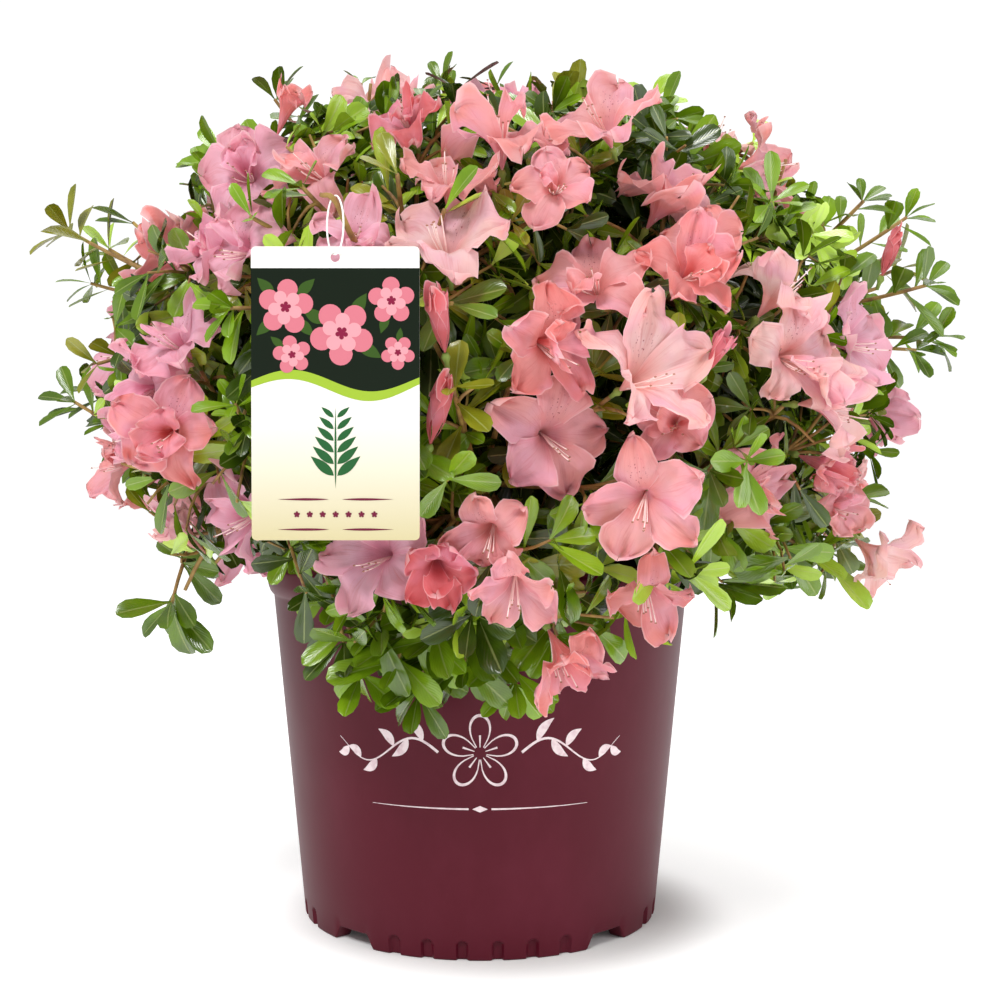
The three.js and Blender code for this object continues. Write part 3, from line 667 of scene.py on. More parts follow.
heart = np.array([0.0, 0.0, HEART])
for i, (b, height, width, tone, openness, petaloids) in enumerate(FRONT_BLOOMS):
    reach = FRONT_REACH * lean_of(b, height) * (RIGHT_REACH if b > RIGHT_SECTOR else 1)
    centre = heart + reach * (on_outline(b, height) - heart)
    add_bloom(centre, width, tone, openness, petaloids, i)
for first, count in ((200, SPREAD_COUNT), (700, EXTRA_BLOOMS)):
    for k, b, elevation in golden_places(count):
        at_front = abs(b) < FRONT_SECTOR and elevation < FRONT_TOP
        reach = lean_of(b, towards(b, elevation)[2]) * (0.94 + 0.05 * chance(k, 6))
        centre = towards(b, elevation, reach - 0.08 * between(elevation, 30, 70))
        if at_front or chance(k, 5) >= BLOOM_SHARE or room_around(centre) < BLOOM_ROOM:
            continue
        if centre[2] < LOWEST_BLOOM:
            continue
        tone = TONES[int(chance(k, 9) * len(TONES))]
        width = BLOOM_WIDTH * (0.85 + 0.3 * chance(k, 7))
        openness = 1 if chance(k, 11) < 0.8 else 0.2 + 0.6 * chance(k, 12)
        add_bloom(centre, width * (0.6 + 0.4 * openness), tone, openness, int(3.2 * chance(k, 13)), first + k)


# Twigs: each bough goes on into its own twigs, and these into finer ones. Young wood is straw brown
# and carries the leaves near its tip. A seed for each shoot deals its leaves out later.
LONG_SHOOTS = [
    # bearing, height and distance out of the tip of the leaves
    (-76, 440, 274), (-82, 410, 264), (-72, 446, 236), (-80, 329, 275), (-68, 350, 262),
    (-62, 478, 196), (-65, 529, 146), (-48, 538, 102), (-22, 539, 66), (61, 526, 124),
    (70, 510, 162), (66, 484, 212), (80, 452, 285), (74, 402, 296), (82, 372, 306),
    (-76, 192, 212), (66, 228, 240), (124, 420, 278), (150, 344, 282), (172, 466, 232),
    (196, 352, 280), (220, 420, 266), (244, 340, 276), (160, 526, 132), (232, 530, 120),
    (140, 206, 220), (210, 202, 218), (-88, 438, 256), (-86, 338, 266), (78, 362, 292),
    (-58, 484, 190), (70, 456, 258), (75, 504, 186), (-35, 530, 118), (38, 520, 100),
    (8, 536, 70), (48, 506, 150), (-80, 316, 250), (84, 420, 282),
    (-26, 178, 182), (-19, 186, 184), (-12, 150, 172), (-3, 167, 176), (7, 155, 170),
    (-23, 160, 178), (-15, 170, 184), (2, 176, 180), (-8, 182, 186), (14, 184, 184),
    (-28, 420, 262), (-4, 418, 262), (-30, 370, 268), (-3, 368, 270), (-29, 318, 270),
    (-3, 326, 270), (-22, 436, 254), (-10, 440, 250), (-16, 350, 264), (-20, 300, 268),
    (-10, 296, 268), (-14, 400, 262), (-22, 390, 264),
]
FINE_SEEDS = 1000
FINE_TWIGS = [
    # kind, number, share of the way out where their tips start and over which they spread, first seed
    ("outer", 980, 0.82, 0.14, FINE_SEEDS), ("inner", 620, 0.44, 0.32, 3000),
]
TWIG_ROOT, TWIG_TIP, FINE_ROOT, FINE_TIP = 1.9, 1.1, 1.25, 0.75
SHOOT_BACK, TWIG_ROOM, LOWEST_LEAF = 0.35 * 47, 30, 214
FORK_AT, SHORTEST_FINE = (0.35, 0.5, 0.65, 0.8), 18
LOOP_THREAD, LOOP_CLEAR, HOOK_THICK = 0.45, 0.6, 1.37


def nearest_mass(p):
    """The foliage mass whose middle is nearest to a point."""
    return min(masses, key=lambda mass: np.linalg.norm(mass["middle"] - p))


def twig_line(mass, tip):
    """The line of a twig from the middle of its mass to its tip, lifting or drooping on the way."""
    knee = mass["middle"] + 0.62 * (tip - mass["middle"])
    fall = mass["middle"][2] - tip[2]
    knee[2] += 0.35 * fall if fall > 60 else -0.1 * np.linalg.norm(knee - tip)
    return mass["middle"], knee, tip


def add_twig(mass, tip):
    """Gives a mass a twig that ends at a tip."""
    mass["twigs"].append(twig_line(mass, tip))
    return mass["twigs"][-1]


def fine_line(tip):
    """A finer twig that leaves the best placed twig of its mass and bends on to a tip."""
    best, found = math.inf, None
    for line in nearest_mass(tip)["twigs"]:
        for t in FORK_AT:
            root, heading = bent(line, t)[0], heading_at(line, t)
            span = np.linalg.norm(tip - root)
            cost = span * (1.6 - 0.6 * (tip - root) @ heading / span)
            if span >= SHORTEST_FINE and cost < best:
                best, found = cost, (root, root + heading * 0.42 * span, tip)
    return found


def smooth_path(stations, steps):
    """A smooth path through a row of points."""
    ends = [2 * stations[0] - stations[1], *stations, 2 * stations[-1] - stations[-2]]
    path = []
    for a, b, c, d in zip(ends, ends[1:], ends[2:], ends[3:]):
        for t in np.arange(steps) / steps:
            path.append(0.5 * (2 * b + (c - a) * t + (2 * a - 5 * b + 4 * c - d) * t ** 2
                               + (3 * b - a - 3 * c + d) * t ** 3))
    return np.array(path + [stations[-1]])


twigs = Joined()
shoots = []
for bloom in blooms:
    foot = bloom["centre"] - bloom["facing"] * (BLOOM_TUBE * bloom["width"] / 2 + 8)
    add_twig(nearest_mass(bloom["centre"]), foot)
for i, (b, height, out_to) in enumerate(LONG_SHOOTS):
    reach = at(b, out_to, height)
    tip = reach - outward(reach) * SHOOT_BACK
    shoots.append({"line": add_twig(nearest_mass(tip), tip), "seed": 100 + i, "kind": "long"})
for k, b, elevation in golden_places(SPREAD_COUNT):
    tip = towards(b, elevation, 0.83 + 0.08 * chance(k, 8))
    if room_around(tip) > TWIG_ROOM and tip[2] > LOWEST_LEAF:
        shoots.append({"line": add_twig(nearest_mass(tip), tip), "seed": 400 + k, "kind": "outer"})

for mass in masses:
    t = np.linspace(BOUGH_ENDS, 1, 8)
    twigs.add(*tube(bent(mass["leader"], t), np.linspace(BOUGH_TIP, MASS_TIP, 8), 8))
    for line in mass["twigs"]:
        t = np.linspace(0, 1, 8)
        twigs.add(*tube(bent(line, t), np.linspace(TWIG_ROOT, TWIG_TIP, 8), 6))

for kind, count, low, wide, first in FINE_TWIGS:
    for k, b, elevation in golden_places(count):
        b = b + 16 * (chance(k, first) - 0.5)
        tip = towards(b, elevation, low + wide * chance(k, first + 1) - 0.04 * between(elevation, 30, 60))
        line = fine_line(tip)
        if line is not None:
            shoots.append({"line": line, "seed": first + k, "kind": kind})

# The twig that the card's loop hangs on passes through the loop, just under its top
loop_low, loop_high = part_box("tag_loop")
hook = from_axis(((loop_low.x + loop_high.x) / 2, (loop_low.y + loop_high.y) / 2, loop_high.z))
hook = hook - (0, 0, 2 * LOOP_THREAD + LOOP_CLEAR + HOOK_THICK)
hook_root, hook_tip = nearest_mass(hook)["middle"], hook + (-6, -7, 1.5)
hook_knee = hook_root * 0.3 + hook * 0.7 - (0, 0, 9)
hook_path = smooth_path([hook_root, hook_knee, hook, hook_tip], 6)
twigs.add(*tube(hook_path, np.linspace(TWIG_ROOT, TWIG_TIP, len(hook_path)), 8))
shoots.append({"line": (hook_knee, (hook_knee + hook) / 2, hook_tip), "seed": 90, "kind": "long"})


# Leaves: evergreen, thick and glossy, 20 to 45 mm long, broadest past the middle and with a sunk
# midrib. They stand round the last stretch of each shoot, and in a whorl at its tip.
LEAF_ROWS = np.array([0, 0.16, 0.37, 0.58, 0.78, 0.93, 1.0])
LEAF_HALF = np.array([0.08, 0.21, 0.6, 0.92, 1.0, 0.74, 0.16])
LEAF_COLUMNS = np.array([-1, -0.5, 0, 0.5, 1.0])
INNER_ROWS = np.array([0, 0.3, 0.72, 0.93, 1.0])
INNER_HALF = np.array([0.08, 0.55, 1.0, 0.6, 0.08])
INNER_COLUMNS = np.array([-1, 0, 1.0])
LEAF_LENGTH, LEAF_SPACE, INNER_SPACE, INNER_LARGER = 29, 6.2, 9, 1.3
LEAFY_LONG, LEAFY, TIP_LEAVES, OVER_BLOOM = 105, 72, 5, 0.02
LEAVES_A_PIECE = 4000
LIGHTWARD = np.array([-0.25, -0.55, 0.8])
# How far leaves keep from the pot's lip, the card and the crown's box
LIP_CLEAR, CARD_MARGIN, CARD_BEHIND, BOX_MARGIN = 3, 5.0, 12, 2
# Leaves hang low only between two bearings, and on one side they leave more of the rim bare
HANGING, BARE_RIM, BARE_SIDE, BARE_SECTOR = (-27, 40), 20, -50, 22
leaf_tones = {
    # the two colours that a tone runs between, and its share of the outer shoots
    "dark": ("#2c3f04", "#3e560a", 0.2), "deep": ("#476204", "#5f7e0a", 0.3),
    "green": ("#648608", "#80a418", 0.24), "olive": ("#747810", "#949424", 0.1),
    "fresh": ("#8aac1e", "#a6c638", 0.12), "lime": ("#a6c838", "#bcda58", 0.04),
}
tag_low, tag_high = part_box("tag")
card_middle = from_axis((tag_low + tag_high) / 2)
card_half = np.array((tag_high - tag_low) / 2) / MM
loop_room = from_axis(loop_low) - CARD_MARGIN, from_axis(loop_high) + CARD_MARGIN
box_low, box_high = from_axis(cad_box[0]), from_axis(cad_box[1])
bloom_centres = np.array([bloom["centre"] for bloom in blooms])
bloom_facings = np.array([bloom["facing"] for bloom in blooms])
bloom_radii = np.array([bloom["width"] / 2 for bloom in blooms])


def clear_of_blooms(p, front=0.9):
    """Whether a point lies outside the space just behind and in front of every open bloom."""
    away = p - bloom_centres
    ahead = np.einsum("ij,ij->i", away, bloom_facings)
    beside = np.linalg.norm(away - ahead[:, None] * bloom_facings, axis=1)
    inside = (ahead > -0.45 * bloom_radii) & (ahead < 1.2 * bloom_radii) & (beside < front * bloom_radii)
    return not inside.any()


def allowed(p, kind):
    """Whether a point of a leaf is clear of the pot, the card and the ends of the crown's reach."""
    if p[2] < pot_height + LIP_CLEAR and math.hypot(p[0], p[1]) < rim_radius + LIP_CLEAR:
        return False
    b = math.degrees(math.atan2(p[0], -p[1]))
    lowest = LOWEST_LEAF + BARE_RIM * math.exp(-((b - BARE_SIDE) / BARE_SECTOR) ** 2)
    if p[2] < lowest and kind != "long" and not HANGING[0] < b < HANGING[1]:
        return False
    if kind != "long" and share(p) > 1.03 * lean_of(b, p[2]) - 0.05 * between(p[2], 430, 520):
        return False
    over_card = (np.abs(p - card_middle)[[0, 2]] < card_half[[0, 2]] + CARD_MARGIN).all()
    if over_card and p[1] < card_middle[1] + CARD_BEHIND:
        return False
    if (p > loop_room[0]).all() and (p < loop_room[1]).all():
        return False
    return bool((p > box_low - BOX_MARGIN).all() and (p < box_high + BOX_MARGIN).all())


leaves = {tone: [] for tone in leaf_tones}
shaded_leaves = []


def tone_of(shoot):
    """The leaf tone of a shoot: long ones are darker where they hang at the pot, and else lighter."""
    pick = chance(shoot["seed"], 51)
    if shoot["kind"] == "long":
        pick = 0.8 * pick if shoot["line"][2][2] < LOWEST_LEAF else 0.2 + 0.8 * pick
    for tone, (_, _, part) in leaf_tones.items():
        pick -= part
        if pick < 0:
            return tone
    return "deep"


def leaf_shoot(shoot):
    """Places the leaves of a shoot, each as a row: root, direction, upper side, length, width, curl."""
    seed, line = shoot["seed"], shoot["line"]
    long, inner = shoot["kind"] == "long", shoot["kind"] == "inner"
    grown_rows = shaded_leaves if inner else leaves[tone_of(shoot)]
    t = np.linspace(0, 1, 25)
    lengths = np.linalg.norm(np.diff(bent(line, t), axis=0), axis=1)
    lengths = np.concatenate([[0], np.cumsum(lengths)])
    leafy = min(0.85 * lengths[-1], (LEAFY_LONG if long else LEAFY) * (0.8 + 0.4 * chance(seed, 52)))
    count = int(leafy / (INNER_SPACE if inner else LEAF_SPACE))
    size = (0.82 + 0.4 * chance(seed, 53)) * (1 + 0.3 * between(line[2][2], HEART, 200))
    size = size * (INNER_LARGER if inner else 1)
    turn = 2 * math.pi * chance(seed, 54)
    up_out = unit(outward(line[2]) + (0, 0, 0.5))
    for k in range(count + TIP_LEAVES):
        at_tip = k < TIP_LEAVES
        back = 0.5 * k if at_tip else leafy * ((k - TIP_LEAVES + 1) / count) ** 0.95
        depth = back / max(leafy, 1)
        where = np.interp(lengths[-1] - back, lengths, t)
        root, heading = bent(line, where)[0], heading_at(line, where)
        side, other = square_to(heading)
        angle = turn + (k * 2 * math.pi / TIP_LEAVES if at_tip else k * SPIRAL)
        radial = math.cos(angle) * side + math.sin(angle) * other
        splay = 36 + 34 * chance(seed, 60 + k) if at_tip else 46 + 24 * depth + 20 * chance(seed, 60 + k)
        splay = math.radians(splay)
        along = unit(math.cos(splay) * heading + math.sin(splay) * radial)
        upper = heading * 0.4 + LIGHTWARD * 0.8 if long else heading * 0.8 + up_out * 0.5
        upper = unit(upper - along * (upper @ along))
        grown = 0.62 + 0.3 * chance(seed, 90 + k) if at_tip else 1 - 0.22 * depth
        length = LEAF_LENGTH * size * grown * (0.85 + 0.3 * chance(seed, 120 + k))
        width = length * (0.16 + 0.06 * chance(seed, 150 + k))
        curl = -0.06 + 0.28 * chance(seed, 180 + k)
        tip, middle = root + along * length, root + along * length * 0.6
        if not all(allowed(p, shoot["kind"]) for p in (tip, root, middle)):
            continue
        if chance(seed, 210 + k) < OVER_BLOOM or clear_of_blooms(tip) and clear_of_blooms(middle):
            grown_rows.append((*root, *along, *upper, length, width, curl))


for shoot in shoots:
    line, kind = shoot["line"], shoot["kind"]
    if kind != "long" and not (clear_of_blooms(line[2], 0.7) and allowed(line[2], kind)):
        continue
    leaf_shoot(shoot)
    if shoot["seed"] >= FINE_SEEDS:
        twigs.add(*tube(bent(line, np.linspace(0, 1, 5)), np.linspace(FINE_ROOT, FINE_TIP, 5), 5))


def grid(stations, columns):
    """The triangles and the UVs of a leaf or a petal, in rows from its root and columns across."""
    i, j = np.meshgrid(np.arange(len(stations) - 1), np.arange(len(columns) - 1), indexing="ij")
    a = (i * len(columns) + j).ravel()
    beyond = a + len(columns)
    faces = np.concatenate([np.stack([a, a + 1, beyond + 1], 1), np.stack([a, beyond + 1, beyond], 1)])
    uvs = np.stack(np.broadcast_arrays(0.5 + 0.5 * columns, stations[:, None]), -1)
    return faces, uvs.reshape(-1, 2)


def blades(rows, stations, halves, columns):
    """The points, triangles and UVs of many leaves, one for each row of places."""
    rows = np.array(rows)[:, None, None]
    root, along, upper = rows[..., 0:3], rows[..., 3:6], rows[..., 6:9]
    length, width, curl = rows[..., 9], rows[..., 10], rows[..., 11]
    t, half, v = stations[:, None], halves[:, None], columns
    trough = 0.3 * np.abs(v) + 0.5 * (0.25 - (np.abs(v) - 0.5) ** 2)
    lift = width * half * trough - length * curl * t ** 2
    reach = length * (t - 0.35 * curl * t ** 2)
    points = (root + reach[..., None] * along + (width * half * v)[..., None] * np.cross(along, upper)
              + lift[..., None] * upper)
    faces, uvs = grid(stations, columns)
    first = np.arange(len(rows)) * len(uvs)
    return points.reshape(-1, 3), (faces + first[:, None, None]).reshape(-1, 3), np.tile(uvs, (len(rows), 1))


def add_leaves(name, rows, blade, *layout):
    """Puts many leaves in the scene as one piece."""
    points, faces, uvs = blades(rows, *layout)
    add_piece(mesh_from(name, in_frame(points), faces, uvs), blade)


for tone, (low, high, _) in leaf_tones.items():
    # An azalea leaf: a waxy upper skin with a soft gloss, and a paler sunk midrib with side veins
    blade, tree, surface = new_material(f"waxy_azalea_leaf_{tone}", low, Roughness=0.22, IOR=1.45,
                                        Specular_IOR_Level=0.8)
    place = node(tree, "TexCoord").outputs
    patches = node(tree, "TexNoise", {"Vector": place["Object"], "Scale": 1 / (26.3 * MM), "Detail": 2})
    body = node(tree, "ValToRGB", {"Fac": patches}, stops=[(0.36, low), (0.64, high)])
    on_leaf = node(tree, "SeparateXYZ", {0: place["UV"]}).outputs
    from_rib = node(tree, "Math", {0: on_leaf[0], 1: 0.5}, operation="SUBTRACT")
    from_rib = node(tree, "Math", {0: from_rib}, operation="ABSOLUTE")
    rib = node(tree, "MapRange", {"Value": from_rib}, span=(0.015, 0.05, 0.38, 0.0))
    ribbed = node(tree, "Mix", {0: rib, 6: body, 7: srgb("#b7c178")}, data_type="RGBA")
    # The side veins slant forward from the rib, about 3 mm apart
    slant = node(tree, "Math", {0: from_rib, 1: -1.1, 2: on_leaf[1]}, operation="MULTIPLY_ADD")
    veins = node(tree, "Math", {0: slant, 1: 56.0}, operation="MULTIPLY")
    veins = node(tree, "Math", {0: veins}, operation="SINE")
    relief = node(tree, "Bump", {"Height": veins, "Strength": 0.14, "Distance": 0.2 * MM})
    plug(surface, {"Base Color": ribbed.outputs[2], "Normal": relief})
    for number, part in enumerate(range(0, len(leaves[tone]), LEAVES_A_PIECE), 1):
        add_leaves(f"leaves_{tone}_{number}", leaves[tone][part:part + LEAVES_A_PIECE], blade,
                   LEAF_ROWS, LEAF_HALF, LEAF_COLUMNS)
    # The leaves inside the crown all take the darkest tone: partly older leaves, partly painted shade for the
    # crown's inside
    if tone == "dark":
        add_leaves("leaves_shaded", shaded_leaves, blade, INNER_ROWS, INNER_HALF, INNER_COLUMNS)

# Young azalea wood, for the twigs: thin straw-brown bark with a dull shine
young, tree, surface = new_material("young_azalea_bark", "#8a6a34", Roughness=0.6)
place = node(tree, "TexCoord").outputs["Object"]
flecks = node(tree, "TexNoise", {"Vector": place, "Scale": 1 / (7 * MM), "Detail": 3})
tones = node(tree, "ValToRGB", {"Fac": flecks}, stops=[(0.3, "#6b4a26"), (0.5, "#94723a"), (0.7, "#a68a45")])
plug(surface, {"Base Color": tones})
twigs_piece = add_piece(twigs.mesh("twigs"), young)
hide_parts(*[mass["name"] for mass in masses])


# Blooms: large funnels of five overlapping ruffled lobes, some with smaller petals in the throat,
# soft and slightly translucent, in salmon pink running to coral and lilac pink.
PETAL_ROWS = np.array([0, 0.14, 0.28, 0.39, 0.49, 0.58, 0.66, 0.73, 0.8, 0.86, 0.91, 0.95, 0.98, 1.0])
PETAL_COLUMNS = np.linspace(-1, 1, 13)
LOBES, STAMENS, STAMENS_SHOW = 5, 5, 0.65
FILAMENT_ROOT, FILAMENT_TIP, ANTHER = 0.48, 0.3, (0.75, 0.5, 0.5)
CALYX_DOWN, CALYX_RADII = (9, 5, 2.5, 0.4), (1.1, 1.3, 2.3, 1.5)
CARD_EDGE, CARD_GAP = 1.5, 1.2
petal_tones = {
    # the throat, the body and the rim of a petal
    "coral": ("#ec8a86", "#f3a09f", "#ee8a84"), "salmon": ("#ef9c98", "#f5b2b5", "#f1a09a"),
    "pale": ("#f5b6af", "#fcd5d5", "#f9c1b9"), "lilac": ("#ee9fb8", "#f9c0d4", "#f4acbc"),
    "rose": ("#dc6c72", "#e98086", "#e2686c"),
}


def petal(size, turn, openness, pitch, seed, wide=1.0, length=1.0):
    """One lobe of a bloom of radius size, as points about the bloom's middle, facing up z."""
    u, v = PETAL_ROWS[:, None], PETAL_COLUMNS[None, :]
    left, right = 6.3 * chance(seed, 2), 6.3 * chance(seed, 3)

    # How far out each row of the lobe reaches, and how wide it is there
    shut = between(np.array(openness), 0.5, 0.15)
    flare = between(u, 0.36, 0.75)
    funnel = 0.02 + 0.98 * (0.38 * u + 0.62 * u ** 2)
    reach = (0.02 + (funnel - 0.02) * (0.3 + 0.7 * openness)) * length
    reach = reach * (1 - shut) + (0.02 + 0.24 * np.sin(np.pi * u ** 0.7) ** 1.2) * shut
    reach = reach * (1 + 0.04 * between(u, 0.7, 1) * np.sin(7 * v + 6.3 * chance(seed, 14)))
    widest = (0.37 + 0.11 * chance(seed, 10)) * wide
    past = np.clip((u - 0.6) / 0.4, 0, 1)
    outline = widest * np.clip(1 - past ** 2.6, 0.001, 1) ** 0.55
    half = np.minimum(0.78 * funnel, outline)
    half = half * (1 + 0.09 * np.sin(10 * u + 6.3 * chance(seed, 1)) * np.abs(v))

    # The lobe is bowed round the throat, less so where it flares
    bow = reach * (1 + 3.2 * openness * flare) + 0.02
    angle = v * half / bow
    radial = reach - bow * (1 - np.cos(angle))
    beside = bow * np.sin(angle) + 0.2 * (chance(seed, 11) - 0.5) * flare * reach

    # It rises out of its tube, with ruffles that grow towards its edge, a midrib and a curled end
    rise = -BLOOM_TUBE * (1 - u) ** 2.7 + (1 - openness) * (1.05 + 0.4 * shut) * u
    rise = rise + pitch * np.clip(reach - 0.3, 0, None)
    phase = np.where(v < 0, left, right)
    edge = between(u, 0.34, 0.8) * np.abs(v) ** 1.5
    rise = rise + (0.1 + 0.09 * chance(seed, 12)) * edge * np.sin(12 * u + phase)
    rise = rise + 0.065 * edge * np.abs(v) * np.sin(27 * u + 2 * phase)
    rise = rise + 0.07 * between(u, 0.76, 1) * np.sin(6 * v + left) + 0.06 * flare * v ** 2
    rise = rise + 0.045 * between(u, 0.78, 1) * np.sin(11 * v + right)
    rise = rise - 0.065 * flare * np.exp(-(v / 0.15) ** 2)
    rise = rise + 0.05 * flare * np.sin(8 * v + 6.3 * chance(seed, 13)) * np.sin(7 * u + right)
    rise = rise + (chance(seed, 4) - 0.5) * 1.1 * v * half * flare
    rise = rise - between(u, 0.7, 1) * (0.36 * chance(seed, 5) - 0.1)
    x = radial * math.cos(turn) - beside * math.sin(turn)
    y = radial * math.sin(turn) + beside * math.cos(turn)
    return np.stack([x, y, rise], -1).reshape(-1, 3) * size


def behind_card(points):
    """Points with those that would stand in front of the card pressed back behind it."""
    over = (np.abs(points - card_middle)[:, [0, 2]] < card_half[[0, 2]] + CARD_EDGE).all(axis=1)
    back = card_middle[1] + card_half[1] + CARD_GAP
    points[over, 1] = np.maximum(points[over, 1], back)
    return points


petal_faces, petal_uv = grid(PETAL_ROWS, PETAL_COLUMNS)
petal_faces = petal_faces[:, ::-1]
petals = {tone: Joined() for tone in petal_tones}
stamens, anthers, calyces = Joined(), Joined(), Joined()
anther_points, anther_faces = grain_of(1)
for bloom in blooms:
    seed, facing, size = bloom["seed"] * 7 + 11, bloom["facing"], bloom["width"] / 2
    upright = np.array([0, 0, 1.0]) - facing * facing[2]
    first = unit(upright) if np.linalg.norm(upright) > 0.2 else square_to(facing)[0]
    bloom_axes = np.stack([first, np.cross(facing, first), facing])
    opened = bloom["open"]
    twist = (chance(seed, 6) - 0.5) * 0.7
    lobes = [(twist + k * 2 * math.pi / LOBES, opened, 1.0, 1.0) for k in range(LOBES)]
    lobes += [(6.3 * chance(seed, 30 + k), opened * 0.62, 0.85, 0.5 + 0.2 * chance(seed, 40 + k))
              for k in range(bloom["petaloids"])]
    for k, (turn, spread, wide, length) in enumerate(lobes):
        pitch = (chance(seed + k, 7) - 0.5) * 1.3 * opened
        points = petal(size, turn + 0.16 * (chance(seed + k, 8) - 0.5), spread, pitch, seed + 13 * k,
                       wide, length * (0.88 + 0.22 * chance(seed + k, 9)))
        points = behind_card(points @ bloom_axes + bloom["centre"])
        # The uppermost lobe, which bees look for, is the one with dark speckles: its UVs start at 0
        petals[bloom["tone"]].add(points, petal_faces, petal_uv + ((0, 0) if k == 0 else (2, 0)))
    for k in range(STAMENS + 1 if opened > STAMENS_SHOW else 0):
        # The last one is the pistil, which stands out further
        turn = math.pi + 1.5 * (chance(seed, 60 + k) - 0.5)
        s = np.linspace(0, 1, 7)[:, None]
        lean = (0.2 + 0.3 * chance(seed, 70 + k)) * size
        height = size * (0.5 if k == STAMENS else 0.08 + 0.3 * chance(seed, 80 + k))
        across = lean * s ** 1.5 - 0.3 * lean * s ** 4
        line = np.concatenate([across * np.cos(turn), across * np.sin(turn),
                               -0.66 * size + (height + 0.66 * size) * s], 1)
        line = behind_card(line @ bloom_axes + bloom["centre"])
        stamens.add(*tube(line, np.linspace(FILAMENT_ROOT, FILAMENT_TIP, len(s)), 4))
        anthers.add(anther_points * ANTHER + line[-1], anther_faces)
    foot = bloom["centre"] - facing * size * BLOOM_TUBE
    calyces.add(*tube(foot - np.outer(CALYX_DOWN, facing), CALYX_RADII, 10))

for tone, (throat, body, rim) in petal_tones.items():
    # Petal tissue: thin and matt, with fine veins along it, so light shows through it softly
    tissue, tree, surface = new_material(f"azalea_petal_{tone}", body, Roughness=0.55, IOR=1.4,
                                         Sheen_Weight=0.12)
    place = node(tree, "TexCoord").outputs
    on_petal = node(tree, "SeparateXYZ", {0: place["UV"]}).outputs
    # From the throat the colour runs to the body and the rim. The throat's deeper, more saturated pink is
    # partly its own colour and partly painted light, standing in for light bounced between the petals in the
    # shaded throat
    body_tone = node(tree, "ValToRGB", {"Fac": on_petal[1]},
                     stops=[(0.05, throat), (0.3, throat), (0.6, body), (0.98, rim)])
    cloud = node(tree, "TexNoise", {"Vector": place["Object"], "Scale": 1 / (26.3 * MM), "Detail": 2})
    flush = node(tree, "MapRange", {"Value": cloud}, span=(0.46, 0.68, 0.0, 0.6))
    clouded = node(tree, "Mix", {0: flush, 6: body_tone, 7: srgb("#f0b0cb")}, data_type="RGBA")
    # The veins run along the lobe, about 1 mm apart
    stretched = node(tree, "Mapping", {"Vector": place["UV"], "Scale": (26, 2.2, 1)})
    veins = node(tree, "TexNoise", {"Vector": stretched, "Scale": 1.0, "Detail": 2})
    deeper = node(tree, "MapRange", {"Value": veins}, span=(0.52, 0.72, 0.0, 0.35))
    veined = node(tree, "Mix", {0: deeper, 6: clouded.outputs[2], 7: srgb("#dd7074")}, data_type="RGBA")
    # The speckles, about 2 mm apart, stand in a patch above the throat
    dots = node(tree, "Mapping", {"Vector": place["UV"], "Scale": (17, 22, 1)})
    dots = node(tree, "TexVoronoi", {"Vector": dots, "Scale": 1.0, "Randomness": 0.9})
    dots = node(tree, "MapRange", {"Value": dots.outputs["Distance"]}, span=(0.2, 0.3, 1.0, 0.0))
    on_upper = node(tree, "Math", {0: on_petal[0], 1: 1.5}, operation="LESS_THAN")
    near = node(tree, "Mapping", {"Vector": place["UV"], "Location": (-0.5, -0.52, 0)})
    near = node(tree, "VectorMath", {0: near}, operation="LENGTH").outputs["Value"]
    patch = node(tree, "MapRange", {"Value": near}, span=(0.12, 0.3, 0.85, 0.0))
    speck = node(tree, "Math", {0: dots, 1: patch}, operation="MULTIPLY")
    speck = node(tree, "Math", {0: speck, 1: on_upper}, operation="MULTIPLY")
    specked = node(tree, "Mix", {0: speck, 6: veined.outputs[2], 7: srgb("#a8324a")}, data_type="RGBA")
    # The margin is thinner and paler
    across = node(tree, "Math", {0: on_petal[0]}, operation="FRACT")
    across = node(tree, "Math", {0: across, 1: 0.5}, operation="SUBTRACT")
    across = node(tree, "Math", {0: across}, operation="ABSOLUTE")
    sides = node(tree, "MapRange", {"Value": across}, span=(0.46, 0.5, 0.0, 0.7))
    end = node(tree, "MapRange", {"Value": on_petal[1]}, span=(0.965, 1.0, 0.0, 0.7))
    margin = node(tree, "Math", {0: sides, 1: end}, operation="MAXIMUM")
    edged = node(tree, "Mix", {0: margin, 6: specked.outputs[2], 7: srgb("#fbd6d8")}, data_type="RGBA")
    # The tissue is puckered like crepe between its veins
    puckers = node(tree, "TexNoise", {"Vector": place["Object"], "Scale": 1 / (6 * MM), "Detail": 3})
    puckered = node(tree, "Bump", {"Height": puckers, "Strength": 0.6, "Distance": 1.4 * MM})
    crepe = node(tree, "Bump", {"Height": veins, "Strength": 0.5, "Distance": 0.6 * MM, "Normal": puckered})
    plug(surface, {"Base Color": edged.outputs[2], "Normal": crepe})
    through = node(tree, "BsdfTranslucent", {"Color": edged.outputs[2]})
    mixed = node(tree, "MixShader", {0: 0.38, 1: surface, 2: through})
    plug(tree.nodes["Material Output"], {"Surface": mixed})
    add_piece(petals[tone].mesh(f"petals_{tone}"), tissue)

# Pale smooth filaments, anthers dusty with pollen, and green calyces with a dull down
for name, joined, finish, colour, roughness in (
        ("stamens", stamens, "pale_filaments", "#fae0da", 0.5),
        ("anthers", anthers, "dusty_anthers", "#a87460", 0.9),
        ("calyces", calyces, "downy_calyx", "#7d9440", 0.7)):
    plain, _, _ = new_material(finish, colour, Roughness=roughness)
    add_piece(joined.mesh(name), plain)


